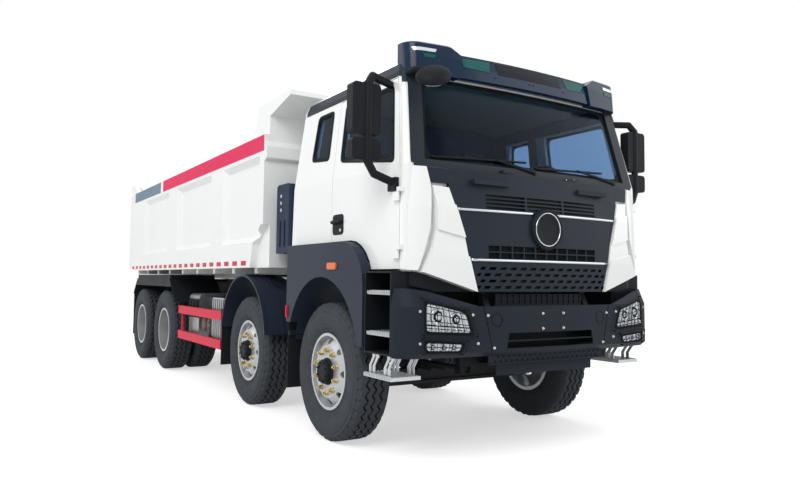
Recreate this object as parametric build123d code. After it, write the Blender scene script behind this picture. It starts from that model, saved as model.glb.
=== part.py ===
from build123d import *
import os
from math import cos, radians, sin

# Eight-by-four mining dump truck, in millimetres: +X forward, +Y to the truck's left, +Z up.
# The origin is on the ground at the middle of the truck's length and width.
# Lengths named "..._AT" are measured forward from the first axle.

# Overall layout
FRONT_OVERHANG = 1300.0
WHEELBASE_12 = 1800.0
WHEELBASE_23 = 3200.0
WHEELBASE_34 = 1400.0
REAR_OVERHANG = 1010.0
TRUCK_WIDTH = 2500.0

# Clearances
RUN_GAP = 0.05
SEAT_GAP = 0.3
MOVE_GAP = 6.0

# Wheels and tyres
TYRE_RADIUS = 540.0
TYRE_WIDTH = 300.0
TREAD_WIDTH = 250.0
SIDEWALL_RADIUS = 440.0
TYRE_FACETS = 30
BEAD_RADIUS = 286.0
RIM_WIDTH = 228.0
FLANGE_HEIGHT = 14.0
FLANGE_THICKNESS = 12.0
RIM_WALL = 16.0
DISC_THICKNESS = 18.0
HAND_HOLES = 8
HAND_HOLE_RADIUS = 27.0
FRONT_TRACK_HALF = 1040.0
TWIN_PITCH = 340.0

# Steering knuckles
KINGPIN_Y = 930.0
KINGPIN_RADIUS = 24.0
FIST_RADIUS = 45.0
FIST_HALF = 80.0
LUG_HEIGHT = 45.0
KNUCKLE_PLATE = 20.0
SPINDLE_RADIUS = 40.0
REAR_SPINDLE_RADIUS = 50.0

# Ladder frame and tipping sub-frame
RAIL_OUTER_Y = 435.0
RAIL_FLANGE = 90.0
RAIL_WALL = 10.0
RAIL_TOP_Z = 1100.0
RAIL_HEIGHT = 280.0
RAIL_FRONT_AT = 1000.0
RAIL_TAIL = 650.0
SUBFRAME_HEIGHT = 150.0
SUBFRAME_FRONT_AT = -1450.0
PIVOT_TAIL = 550.0
PIVOT_RADIUS = 35.0

# Springs
LEAF_WIDTH = 80.0
LEAF_THICKNESS = 22.0
FRONT_SPRING_HALF = 750.0
REAR_SPRING_Y = 500.0
REAR_LEAF = 28.0

# Telescopic hoist
HOIST_AT = -1000.0
HOIST_FOOT_Z = 800.0
HOIST_EYE_Z = 2300.0
HOIST_RADIUS = 100.0
HOIST_WALL = 10.0
HOIST_STAGES = 4
TRUNNION_RADIUS = 40.0
EYE_RADIUS = 45.0
EYE_BORE = 25.0
EYE_WIDTH = 62.0

# Cab
CAB_WALL = 55.0
CAB_HALF = 1165.0
CAB_FLOOR_Z = 1340.0
CAB_BELT_Z = 2050.0
CAB_HEADER_Z = 2740.0
CAB_ROOF_Z = 2860.0
CAB_REAR_AT = -760.0
CAB_FRONT_AT = 1160.0
CAB_BOW = 60.0
CAB_CORNER = 50.0
DOOR_FRONT_AT = 1035.0
DOOR_REAR_AT = 30.0
DOOR_TOP_Z = 2690.0
SKIN_FRONT_AT = 1240.0
SKIN_BOW = 90.0
SKIN_CORNER = 160.0
SKIN_WALL = 45.0
SKIN_FOOT_Z = 1190.0
GRILLE_TOP_Z = 2035.0
LID_INSET = 8.0
FEATHER_DEPTH = 75.0
FEATHER_STEP = 13.0
FEATHER_TOP_Z = 1900.0
FEATHER_END = (1060.0, 1320.0)
POCKET_DEPTH = 16.0
VISOR_HALF = 1055.0
POD_INNER_Y = 640.0
POD_RISE = 40.0

# Bumper, steps and mudguards
BUMPER_WALL = 10.0
BUMPER_FOOT_Z = 750.0
BUMPER_TOP_Z = 1210.0
BUMPER_DIP_Z = 1092.0
BUMPER_REAR_AT = 1060.0
BUMPER_BOW = 110.0
BUMPER_CORNER = 200.0
BUMPER_LIP = 35.0
BUMPER_HALF = 1245.0
STEP_REAR_AT = 700.0
STEP_FRONT_AT = 1052.0
STEP_LOW_Z = 600.0
STRAP_WIDTH = 30.0
ARCH_RADIUS = 622.0
ARCH_CENTRE_Z = 660.0
ARCH_OUTER_Y = 1245.0
ARCH_TOP_Z = 1550.0
GUARD_SHEET = 6.0
ARCH_CORNER = 330.0

# Tipping bed
BED_FRONT_AT = -1250.0
BED_TAIL = 820.0
BED_FOOT_Z = 1370.0
BED_TOP_Z = 2645.0
BED_WALL = 100.0
BED_POCKET = 55.0
BED_PANEL_Z = (1620.0, 2450.0)
BED_PANELS_AT = ((-2470.0, -1370.0), (-4390.0, -2900.0), (-6310.0, -4850.0))
BED_CORNER_Z = 1780.0
BED_FLOOR = 30.0
BED_FRONT_WALL = 60.0
BED_BEAM_FOOT_Z = 1256.0
CANOPY_LIP_AT = -770.0
CANOPY_TOP_Z = 2970.0
TAILGATE_SKIN = 60.0
TAILGATE_HINGE_Z = 2740.0

# Door mirrors
MIRROR_AT = 935.0
MIRROR_Y = 1360.0
MIRROR_TUBE = 28.0
MIRROR_HEADS = ((2065.0, 2215.0), (2245.0, 2595.0))

# Hinges of the cab, doors and front lid
CAB_PIVOT_AT = 1150.0
CAB_PIVOT_Z = 950.0
CAB_PIVOT_RADIUS = 25.0
CAB_PIVOT_Y = 470.0
DOOR_PIN_AT = DOOR_FRONT_AT + 8.0
DOOR_PIN_Y = 1182.0
DOOR_PIN_RADIUS = 8.0
DOOR_HINGES = (1470.0, 1860.0)
LID_PIN_AT = 1170.0
LID_PIN_Z = 2050.0
LID_PIN_RADIUS = 6.0

# Places worked out from the driving dimensions
OVERALL_LENGTH = FRONT_OVERHANG + WHEELBASE_12 + WHEELBASE_23 + WHEELBASE_34 + REAR_OVERHANG
AXLE_1 = OVERALL_LENGTH / 2 - FRONT_OVERHANG
AXLE_2 = AXLE_1 - WHEELBASE_12
AXLE_3 = AXLE_2 - WHEELBASE_23
AXLE_4 = AXLE_3 - WHEELBASE_34
BOGIE = (AXLE_3 + AXLE_4) / 2
TRUCK_REAR = AXLE_4 - REAR_OVERHANG
WHEEL_Z = TYRE_RADIUS
TWIN_OUTER = TRUCK_WIDTH / 2 - TYRE_WIDTH / 2
TWIN_INNER = TWIN_OUTER - TWIN_PITCH
RAIL_FRONT = AXLE_1 + RAIL_FRONT_AT
RAIL_REAR = AXLE_4 - RAIL_TAIL
RAIL_FOOT_Z = RAIL_TOP_Z - RAIL_HEIGHT
RAIL_INNER_Y = RAIL_OUTER_Y - RAIL_FLANGE
SUBFRAME_TOP_Z = RAIL_TOP_Z + SUBFRAME_HEIGHT
PIVOT_X = AXLE_4 - PIVOT_TAIL
PIVOT_Z = RAIL_TOP_Z + SUBFRAME_HEIGHT / 2
HOIST_X = AXLE_1 + HOIST_AT
BED_FRONT = AXLE_1 + BED_FRONT_AT
BED_REAR = AXLE_4 - BED_TAIL
BED_HALF = TRUCK_WIDTH / 2
BED_INNER = BED_HALF - BED_WALL
BED_DECK_Z = BED_FOOT_Z + BED_FLOOR
BUMPER_FRONT = AXLE_1 + FRONT_OVERHANG


def block(x, y, z):
    """Box between the (low, high) limits given along X, Y and Z."""
    middle = Pos((x[0] + x[1]) / 2, (y[0] + y[1]) / 2, (z[0] + z[1]) / 2)
    return middle * Box(x[1] - x[0], y[1] - y[0], z[1] - z[0])


def side_prism(outline, y):
    """Outline of (x, z) points drawn out between the (low, high) limits of Y."""
    face = Face(Polyline(*[(px, y[0], pz) for px, pz in outline], close=True))
    return extrude(face, amount=y[1] - y[0], dir=(0, 1, 0))


def front_prism(outline, x):
    """Outline of (y, z) points drawn out between the (low, high) limits of X."""
    face = Face(Polyline(*[(x[0], py, pz) for py, pz in outline], close=True))
    return extrude(face, amount=x[1] - x[0], dir=(1, 0, 0))


def rod(radius, start, end):
    """Round bar between two points."""
    path = Vector(*end) - Vector(*start)
    bar = Cylinder(radius, path.length, align=(Align.CENTER, Align.CENTER, Align.MIN))
    return Plane(origin=start, z_dir=path) * bar


def turned(profile, x, z):
    """Solid turned about the cross axis through (x, z) from a profile of (y, radius) points."""
    face = Face(Polyline(*[(0, py, pr) for py, pr in profile], close=True))
    return Pos(x, 0, z) * revolve(face, Axis.Y)


def opposite(solid):
    """The same piece on the other side of the truck."""
    return mirror(solid, about=Plane.XZ)


def both_sides(solid):
    """A left-hand piece together with its right-hand twin."""
    return solid + opposite(solid)


def tyre(x, y):
    """Faceted tyre that stands on a flat of its tread, bored for its rim."""
    rings = [(-RIM_WIDTH / 2, BEAD_RADIUS + FLANGE_HEIGHT + 4), (-TYRE_WIDTH / 2, SIDEWALL_RADIUS),
             (-TREAD_WIDTH / 2, TYRE_RADIUS)]
    rings += [(-offset, radius) for offset, radius in reversed(rings)]

    def section(offset, radius):
        plane = Plane((x, y + offset, WHEEL_Z), x_dir=(1, 0, 0), z_dir=(0, 1, 0))
        turn = 90 - 180 / TYRE_FACETS
        return plane * RegularPolygon(radius, TYRE_FACETS, major_radius=False, rotation=turn)

    body = loft([section(offset, radius) for offset, radius in rings], ruled=True)
    return body - extrude(section(-RIM_WIDTH / 2, BEAD_RADIUS), RIM_WIDTH)


def rim_barrel(y):
    """Outer edge of a rim, from its outboard flange to its inboard flange, as (y, radius) points."""
    barrel, flange = BEAD_RADIUS - SEAT_GAP, BEAD_RADIUS + FLANGE_HEIGHT
    seat = RIM_WIDTH / 2 + SEAT_GAP
    edge = seat + FLANGE_THICKNESS
    return [(y + edge, flange), (y + seat, flange), (y + seat, barrel),
            (y - seat, barrel), (y - seat, flange), (y - edge, flange)]


def hand_holes(x, y, radius):
    """Round hand holes through a wheel disc."""
    holes = Part()
    for index in range(HAND_HOLES):
        angle = radians(360 / HAND_HOLES * index)
        px, pz = x + radius * cos(angle), WHEEL_Z + radius * sin(angle)
        holes += rod(HAND_HOLE_RADIUS, (px, y[0], pz), (px, y[1], pz))
    return holes


def front_wheel(x):
    """Single front wheel: rim, disc dished outwards and hub, bored for the spindle."""
    y = FRONT_TRACK_HALF
    inner = BEAD_RADIUS - RIM_WALL
    edge = RIM_WIDTH / 2 + SEAT_GAP + FLANGE_THICKNESS
    bore = SPINDLE_RADIUS + RUN_GAP
    face, hub_end, back = y + 128, y + 172, y + 110
    hub_start = KINGPIN_Y + FIST_RADIUS + KNUCKLE_PLATE + 2 * MOVE_GAP
    profile = rim_barrel(y)
    profile += [(y - edge, inner), (y + 56, inner), (back, 205), (back, 95), (hub_start, 95)]
    profile += [(hub_start, bore), (back, bore), (back, 0), (hub_end, 0), (hub_end, 78), (face + 8, 92)]
    profile += [(face, 100), (face, 205), (y + 78, inner), (y + edge, inner + 8)]
    return turned(profile, x, WHEEL_Z) - hand_holes(x, (y + 30, y + 150), 238)


def twin_wheel(x):
    """Pair of rear wheels bolted back to back on one hub with its brake drum."""
    outer, inner, middle = TWIN_OUTER, TWIN_INNER, (TWIN_OUTER + TWIN_INNER) / 2
    wall = BEAD_RADIUS - RIM_WALL
    edge = RIM_WIDTH / 2 + SEAT_GAP + FLANGE_THICKNESS
    bore = REAR_SPINDLE_RADIUS + RUN_GAP
    face, back = middle + 20, middle - 25
    profile = rim_barrel(outer) + [(outer - edge, wall), (middle, 240), (inner + edge, wall)]
    profile += rim_barrel(inner) + [(inner - edge, wall), (inner + 90, wall), (back, 215)]
    profile += [(inner - 100, 205), (inner - 100, 188), (back - 60, 188), (back - 60, 130)]
    profile += [(inner - 60, 130), (inner - 60, bore), (middle + 80, bore), (middle + 80, 0)]
    profile += [(middle + 145, 0), (middle + 145, 90), (face, 110), (face, 215)]
    profile += [(outer - 90, wall), (outer + edge, wall + 4)]
    holes = hand_holes(x, (middle - 80, middle + 110), 240)
    return turned(profile, x, WHEEL_Z) - holes


def knuckle(x):
    """Steering knuckle: a fork round the axle's fist, its kingpin and the wheel spindle."""
    plate = KINGPIN_Y + FIST_RADIUS + MOVE_GAP, KINGPIN_Y + FIST_RADIUS + MOVE_GAP + KNUCKLE_PLATE
    near, far = FIST_HALF + SEAT_GAP, FIST_HALF + SEAT_GAP + LUG_HEIGHT
    width = x - FIST_RADIUS, x + FIST_RADIUS
    body = block(width, plate, (WHEEL_Z - far, WHEEL_Z + far))
    for low, high in ((WHEEL_Z - far, WHEEL_Z - near), (WHEEL_Z + near, WHEEL_Z + far)):
        body += block(width, (KINGPIN_Y, plate[0]), (low, high))
        body += rod(FIST_RADIUS, (x, KINGPIN_Y, low), (x, KINGPIN_Y, high))
    body += rod(KINGPIN_RADIUS, (x, KINGPIN_Y, WHEEL_Z - far), (x, KINGPIN_Y, WHEEL_Z + far))
    tip = FRONT_TRACK_HALF + 110 - MOVE_GAP
    return body + rod(SPINDLE_RADIUS, (x, plate[1], WHEEL_Z), (x, tip, WHEEL_Z))


def front_axle(x):
    """Dropped forged beam with a bored fist at each end."""
    z, end, bend = WHEEL_Z, KINGPIN_Y - FIST_RADIUS + 10, 700
    outline = [(-end, z + 60), (-end, z - 60), (-bend, z - 150), (bend, z - 150),
               (end, z - 60), (end, z + 60), (bend, z - 20), (-bend, z - 20)]
    beam = front_prism(outline, (x - 50, x + 50))
    for side in (-1, 1):
        beam -= block((x + side * 22, x + side * 50) if side > 0 else (x - 50, x - 22),
                      (-bend, bend), (z - 125, z - 45))
    for side in (-1, 1):
        y = side * KINGPIN_Y
        beam += rod(FIST_RADIUS, (x, y, z - FIST_HALF), (x, y, z + FIST_HALF))
        beam -= rod(KINGPIN_RADIUS + RUN_GAP, (x, y, z - FIST_HALF), (x, y, z + FIST_HALF))
    return beam


def front_axles():
    return front_axle(AXLE_1) + front_axle(AXLE_2)


def rear_axle(x):
    """Driven axle: banjo housing, tubes, spindles, input nose and spring pads."""
    tip = (TWIN_OUTER + TWIN_INNER) / 2 + 80 - MOVE_GAP
    half = [(0, 215), (110, 200), (330, 88), (TWIN_INNER - 130, 80), (TWIN_INNER - 130, REAR_SPINDLE_RADIUS),
            (tip, REAR_SPINDLE_RADIUS), (tip, 0)]
    profile = half + [(-y, r) for y, r in reversed(half[1:])]
    housing = turned(profile, x, WHEEL_Z)
    housing += rod(105, (x, 0, WHEEL_Z), (x + 330, 0, WHEEL_Z))
    pad_y = REAR_SPRING_Y - LEAF_WIDTH / 2, REAR_SPRING_Y + LEAF_WIDTH / 2
    pad = block((x - 90, x + 90), pad_y, (WHEEL_Z, WHEEL_Z + 150))
    return housing + both_sides(pad)


def rear_axles():
    return rear_axle(AXLE_3) + rear_axle(AXLE_4)


def leaf_springs():
    """Front leaf packs on each beam and the flat packs over the rear bogie."""
    springs = Part()
    y = RAIL_OUTER_Y - RAIL_FLANGE / 2
    seat = WHEEL_Z - 20
    for axle in (AXLE_1, AXLE_2):
        pack = Part()
        for index in range(4):
            half = FRONT_SPRING_HALF * (index + 1) / 4
            z = seat + index * LEAF_THICKNESS
            pack += block((axle - half, axle + half), (y - LEAF_WIDTH / 2, y + LEAF_WIDTH / 2),
                          (z, z + LEAF_THICKNESS))
        springs += both_sides(pack)
    pack = Part()
    for index in range(4):
        half = WHEELBASE_34 / 2 + 110 - 170 * index
        z = WHEEL_Z + 150 + index * REAR_LEAF
        pack += block((BOGIE - half, BOGIE + half),
                      (REAR_SPRING_Y - LEAF_WIDTH / 2, REAR_SPRING_Y + LEAF_WIDTH / 2), (z, z + REAR_LEAF))
    return springs + both_sides(pack)


def spring_hanger(x):
    """Fork that hangs a front spring's end from the rail."""
    y = RAIL_OUTER_Y - RAIL_FLANGE / 2
    half = LEAF_WIDTH / 2 + SEAT_GAP
    hanger = block((x - 35, x + 35), (y - half - 12, y + half + 12), (WHEEL_Z + 20, RAIL_FOOT_Z))
    return hanger - block((x - 35, x + 35), (y - half, y + half), (WHEEL_Z + 20, RAIL_FOOT_Z - 60))


def chassis_frame():
    """Channel rails, crossmembers, spring hangers, bogie trunnion, hoist cradle and rear bar."""
    outer, inner = RAIL_OUTER_Y, RAIL_INNER_Y
    low, high, wall = RAIL_FOOT_Z, RAIL_TOP_Z, RAIL_WALL
    channel = [(outer, low), (outer, high), (inner, high), (inner, high - wall), (outer - wall, high - wall),
               (outer - wall, low + wall), (inner, low + wall), (inner, low)]
    frame = both_sides(front_prism(channel, (RAIL_REAR, RAIL_FRONT)))
    web = outer - wall
    cross_at = [RAIL_FRONT - 40, HOIST_X - 340, AXLE_2 - 1000, AXLE_2 - 2300, BOGIE - 30, RAIL_REAR]
    for x in cross_at:
        top = low + 90 if x > AXLE_1 else high - 50
        frame += block((x, x + 40), (-web, web), (low + 20, top))
    frame += block((HOIST_X + 130, HOIST_X + 160), (-web, web), (low + 20, low + 90))
    cradle = block((HOIST_X - 320, HOIST_X + 150), (HOIST_RADIUS + 20, HOIST_RADIUS + 50),
                   (HOIST_FOOT_Z - 75, HOIST_FOOT_Z + 75))
    cradle -= rod(TRUNNION_RADIUS + RUN_GAP, (HOIST_X, 0, HOIST_FOOT_Z), (HOIST_X, 300, HOIST_FOOT_Z))
    frame += both_sides(cradle)
    for axle in (AXLE_1, AXLE_2):
        for end in (-1, 1):
            frame += both_sides(spring_hanger(axle + end * (FRONT_SPRING_HALF - 10)))
    trunnion_z = WHEEL_Z + 80
    bracket = [(BOGIE - 160, low + 40), (BOGIE + 160, low + 40), (BOGIE + 80, trunnion_z - 70),
               (BOGIE - 80, trunnion_z - 70)]
    frame += both_sides(side_prism(bracket, (inner, outer)))
    frame += both_sides(rod(60, (BOGIE, inner, trunnion_z), (BOGIE, REAR_SPRING_Y + 60, trunnion_z)))
    saddle_y = REAR_SPRING_Y - LEAF_WIDTH / 2, REAR_SPRING_Y + LEAF_WIDTH / 2
    frame += both_sides(block((BOGIE - 110, BOGIE + 110), saddle_y, (trunnion_z, WHEEL_Z + 150)))
    bar = block((RAIL_REAR - 60, RAIL_REAR - 20), (-1150, 1150), (640, 760))
    bar += both_sides(block((RAIL_REAR - 20, RAIL_REAR + 20), (inner + 20, outer - 10), (640, low + 60)))
    frame += bar
    pivot = block((RAIL_FRONT - 100, AXLE_1 + CAB_PIVOT_AT + 35), (web, CAB_PIVOT_Y - 5), (900, 1000))
    pin = AXLE_1 + CAB_PIVOT_AT
    pivot += rod(CAB_PIVOT_RADIUS, (pin, CAB_PIVOT_Y - 10, CAB_PIVOT_Z), (pin, CAB_PIVOT_Y + 60, CAB_PIVOT_Z))
    rest = block((AXLE_1 - 720, AXLE_1 - 620), (inner, outer), (high - wall, CAB_FLOOR_Z - MOVE_GAP))
    frame += both_sides(pivot) + both_sides(rest)
    tow = rod(25, (RAIL_REAR - 5, 0, 950), (RAIL_REAR + 45, 0, 950))
    for y in (-80, 80):
        for z in (900, 1000):
            tow += rod(10.5, (RAIL_REAR - 5, y, z), (RAIL_REAR + 45, y, z))
    return frame - tow


def sub_frame():
    """Box beams that carry the bed, with the rear pivot tube."""
    start = AXLE_1 + SUBFRAME_FRONT_AT
    y = RAIL_INNER_Y + 5, RAIL_OUTER_Y - 5
    radius = SUBFRAME_HEIGHT / 2
    beam = block((PIVOT_X, start), y, (RAIL_TOP_Z, SUBFRAME_TOP_Z))
    beam += rod(radius, (PIVOT_X, y[0], PIVOT_Z), (PIVOT_X, y[1], PIVOT_Z))
    frame = both_sides(beam)
    for x in (AXLE_2 - 900, AXLE_2 - 2200, AXLE_3 - 300):
        frame += block((x, x + 60), (-y[0], y[0]), (RAIL_TOP_Z + 20, SUBFRAME_TOP_Z - 40))
    return frame + rod(PIVOT_RADIUS, (PIVOT_X, -y[1], PIVOT_Z), (PIVOT_X, y[1], PIVOT_Z))


def powertrain():
    """Engine, gearbox, radiator and propeller shafts."""
    engine = block((AXLE_1 - 300, AXLE_1 + 790), (-310, 310), (640, 1270))
    engine = fillet(engine.edges().filter_by(Axis.X), 60)
    gearbox_outline = [(-230, 600), (230, 600), (210, 1000), (-210, 1000)]
    gearbox = front_prism(gearbox_outline, (AXLE_1 - 800, AXLE_1 - 300))
    radiator = block((AXLE_1 + 870, AXLE_1 + 940), (-330, 330), (RAIL_FOOT_Z - 30, 1290))
    radiator += block((AXLE_1 + 790, AXLE_1 + 870), (-60, 60), (900, 1000))
    shaft = rod(52, (AXLE_1 - 800, 0, 650), (AXLE_3 + 330, 0, WHEEL_Z + 10))
    link = rod(52, (AXLE_3 - 190, 0, WHEEL_Z), (AXLE_4 + 330, 0, WHEEL_Z))
    for x in (AXLE_1 - 700, AXLE_1 + 250):
        engine += block((x, x + 90), (-RAIL_OUTER_Y + RAIL_WALL, RAIL_OUTER_Y - RAIL_WALL), (900, 970))
    return engine + gearbox + radiator + (shaft + link - rear_axles())


def plan_section(z, rear, front, half, bow, corner, inset=0.0):
    """Plan outline with a bowed front and rounded front corners, at height z."""
    rear, front, half = rear + inset, front - inset, half - inset
    corners = [(rear, -half, z), (front - bow, -half, z), (front - bow, half, z), (rear, half, z)]
    edges = [Line(corners[0], corners[1]), ThreePointArc(corners[1], (front, 0, z), corners[2]),
             Line(corners[2], corners[3]), Line(corners[3], corners[0])]
    face = make_face(edges)
    return fillet(face.vertices().group_by(Axis.X)[-1], max(corner - inset, 5.0))


def cab_body(inset=0.0):
    """Outer form of the cab, or the same form pulled in by a wall's thickness."""
    rows = [(CAB_FLOOR_Z + max(inset, 0), CAB_REAR_AT, CAB_FRONT_AT, CAB_HALF),
            (CAB_BELT_Z, CAB_REAR_AT + 40, CAB_FRONT_AT - 10, CAB_HALF),
            (CAB_HEADER_Z, CAB_REAR_AT + 85, CAB_FRONT_AT - 175, CAB_HALF - 80),
            (CAB_ROOF_Z - 50 - max(inset, 0) * 0.2, CAB_REAR_AT + 100, CAB_FRONT_AT - 205, CAB_HALF - 110)]
    if inset <= 0:
        rows.append((CAB_ROOF_Z - inset, CAB_REAR_AT + 160, CAB_FRONT_AT - 290, CAB_HALF - 180))
    return loft([plan_section(z, AXLE_1 + rear, AXLE_1 + front, half, CAB_BOW, CAB_CORNER, inset)
                 for z, rear, front, half in rows], ruled=True)


def skin_rows():
    """Heights of the front panels' outer form and how far forward it reaches at each."""
    return [(SKIN_FOOT_Z, SKIN_FRONT_AT - 5), (SKIN_FOOT_Z + 220, SKIN_FRONT_AT),
            (GRILLE_TOP_Z - 280, SKIN_FRONT_AT - 10), (GRILLE_TOP_Z, SKIN_FRONT_AT - 40)]


def skin_body(inset=0.0):
    """Outer form of the panels below the windscreen."""
    return loft([plan_section(z, AXLE_1 + 600, AXLE_1 + front, CAB_HALF, SKIN_BOW, SKIN_CORNER, inset)
                 for z, front in skin_rows()], ruled=True)


def skin_face(y, z):
    """How far forward the panels' outer form lies at a place in front view."""
    rows = skin_rows()
    for (low, near), (high, far) in zip(rows, rows[1:]):
        if z <= high:
            break
    return AXLE_1 + near + (far - near) * (z - low) / (high - low) - SKIN_BOW * (y / CAB_HALF) ** 2


def door_outline(gap=0.0):
    """Door's edge in side view, as (x, z) points, grown by a gap."""
    rear, front = AXLE_1 + DOOR_REAR_AT - gap, AXLE_1 + DOOR_FRONT_AT + gap
    foot, top = CAB_FLOOR_Z - 1 - gap, DOOR_TOP_Z + gap
    return [(rear, foot), (rear, top), (front - 150, top), (front, CAB_BELT_Z), (front, foot)]


def door_window(gap=0.0):
    """Window opening of the door, as (x, z) points, shrunk by a gap."""
    return [(AXLE_1 + 140 + gap, 2195 + gap), (AXLE_1 + 130 + gap, 2640 - gap),
            (AXLE_1 + 835 - gap, 2640 - gap), (AXLE_1 + 945 - gap, 2085 + gap)]


def quarter_window(gap=0.0):
    """Small fixed window behind the door, as (x, z) points."""
    return [(AXLE_1 - 405 + gap, 2270 + gap), (AXLE_1 - 370 + gap, 2640 - gap),
            (AXLE_1 - 95 - gap, 2640 - gap), (AXLE_1 - 90 - gap, 2240 + gap)]


def windscreen_opening(gap=0.0):
    """Windscreen opening in front view, drawn through the cab's front."""
    outline = [(-1010 + gap, 2085 + gap), (1010 - gap, 2085 + gap), (945 - gap, 2715 - gap),
               (-945 + gap, 2715 - gap)]
    return front_prism(outline, (AXLE_1 + 800, AXLE_1 + 1300))


def arch_outline(gap=0.0):
    """Outer edge of the first axle's mudguard in side view, its front top corner rounded."""
    front, rear, top = 682 + gap, -662 - gap, ARCH_TOP_Z + gap
    radius = ARCH_CORNER + gap
    corner = [(AXLE_1 + front - radius * (1 - cos(radians(angle))), top - radius * (1 - sin(radians(angle))))
              for angle in range(0, 91, 15)]
    return [(AXLE_1 + front, 790)] + corner + [(AXLE_1 + rear, top), (AXLE_1 + rear, 900)]


def cab_shell():
    shell = cab_body() - cab_body(CAB_WALL) - windscreen_opening()
    sill = block((AXLE_1, AXLE_1 + 1200), (0, CAB_HALF - CAB_WALL - 15), (0, CAB_FLOOR_Z + CAB_WALL))
    shell -= both_sides(side_prism(door_outline(MOVE_GAP), (0, 1400)) - sill)
    shell -= both_sides(side_prism(quarter_window(), (0, 1400)))
    pin = AXLE_1 + CAB_PIVOT_AT
    arm = side_prism([(pin - 40, CAB_PIVOT_Z), (pin - 110, CAB_FLOOR_Z + 5), (pin - 40, CAB_FLOOR_Z + 5),
                      (pin - 40, CAB_PIVOT_Z + 220), (pin, CAB_PIVOT_Z + 140), (pin + 40, CAB_PIVOT_Z)],
                     (CAB_PIVOT_Y, CAB_PIVOT_Y + 50))
    arm += rod(40, (pin, CAB_PIVOT_Y, CAB_PIVOT_Z), (pin, CAB_PIVOT_Y + 50, CAB_PIVOT_Z))
    arm -= rod(CAB_PIVOT_RADIUS + RUN_GAP, (pin, CAB_PIVOT_Y, CAB_PIVOT_Z),
               (pin, CAB_PIVOT_Y + 50, CAB_PIVOT_Z))
    hinge_x = AXLE_1 + DOOR_PIN_AT
    for z in DOOR_HINGES:
        arm += block((hinge_x - 3, hinge_x + 37), (CAB_HALF - 10, DOOR_PIN_Y + 11), (z, z + 30))
        arm += rod(DOOR_PIN_RADIUS, (hinge_x, DOOR_PIN_Y, z - 60), (hinge_x, DOOR_PIN_Y, z + 30))
    lid_x = AXLE_1 + LID_PIN_AT
    arm += block((lid_x - 40, lid_x + 12), (345, 375), (LID_PIN_Z - 8, LID_PIN_Z + 12))
    arm += rod(LID_PIN_RADIUS, (lid_x, 270, LID_PIN_Z), (lid_x, 375, LID_PIN_Z))
    return shell + both_sides(arm)


def door():
    """Left door, cut clear of the mudguard, with its window opening."""
    panel = (cab_body() - cab_body(CAB_WALL)) & side_prism(door_outline(), (CAB_HALF - 160, CAB_HALF + 20))
    panel -= block((AXLE_1, AXLE_1 + 1200), (0, CAB_HALF - CAB_WALL),
                   (CAB_FLOOR_Z - 50, CAB_FLOOR_Z + CAB_WALL + MOVE_GAP))
    panel -= side_prism(door_window(), (0, 1400))
    panel -= side_prism(arch_outline(10), (CAB_HALF - 200, CAB_HALF + 100))
    x = AXLE_1 + DOOR_PIN_AT
    for z in DOOR_HINGES:
        low, high = z - 60, z - SEAT_GAP
        leaf = block((x - 60, x - 20), (CAB_HALF - 10, DOOR_PIN_Y + 8), (low, high))
        leaf += block((x - 30, x), (DOOR_PIN_Y - 8, DOOR_PIN_Y + 8), (low, high))
        leaf += rod(11, (x, DOOR_PIN_Y, low), (x, DOOR_PIN_Y, high))
        panel += leaf - rod(DOOR_PIN_RADIUS + RUN_GAP, (x, DOOR_PIN_Y, low), (x, DOOR_PIN_Y, high))
    return panel


def door_glass():
    sheet = cab_body(14) - cab_body(22)
    return sheet & side_prism(door_window(SEAT_GAP), (CAB_HALF - 250, CAB_HALF + 20))


def cab_glass():
    sheet = cab_body(14) - cab_body(22)
    panes = sheet & windscreen_opening(SEAT_GAP)
    return panes + both_sides(sheet & side_prism(quarter_window(SEAT_GAP), (CAB_HALF - 250, CAB_HALF + 20)))


def feather_line(gap=0.0):
    """Edge of the left feather panels towards the lid in front view, as (y, z) points from the foot up."""
    edge = [(636, SKIN_FOOT_Z), (706, 1430), (734, 1561), (808, 1781), (849, FEATHER_TOP_Z)]
    return [(y - gap, z) for y, z in edge]


def deflector_line(gap=0.0):
    """Front edge of the left corner deflector in front view, as (y, z) points from the foot up."""
    edge = [(1085, 1331), (1035, 1500), (1000, 1616), (985, 1870), (990, 1930), (1012, GRILLE_TOP_Z)]
    return [(y - gap, z) for y, z in edge]


def feathers():
    """Left stack of four stepped feather panels: every second one stands proud of its neighbours."""
    foot, low, middle, high, top = feather_line()
    outer_low, outer_middle, outer_high = (978, 1489), (950, 1608), (955, 1813)
    outlines = [[foot, low, outer_low, FEATHER_END], [low, middle, outer_middle, outer_low],
                [middle, high, outer_high, outer_middle], [high, top, (972, FEATHER_TOP_Z + 10), outer_high]]
    stack = Part()
    for index, outline in enumerate(outlines):
        proud = FEATHER_STEP if index % 2 == 0 else 0.0
        slab = skin_body(-proud) - skin_body(FEATHER_DEPTH)
        stack += slab & front_prism(outline, (AXLE_1 + 1000, AXLE_1 + 1400))
    return stack


def corner_panels():
    """Deflectors round the cab's front corners, each with a stack of feather panels beside the lid."""
    edge = deflector_line()
    region = front_prism(edge + [(1400, GRILLE_TOP_Z), (1400, CAB_FLOOR_Z + 5)],
                         (AXLE_1 + DOOR_FRONT_AT + MOVE_GAP + 4, AXLE_1 + 1400))
    panel = (skin_body() - skin_body(SKIN_WALL)) & region
    return both_sides(panel + feathers() - cab_body(-SEAT_GAP))


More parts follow.
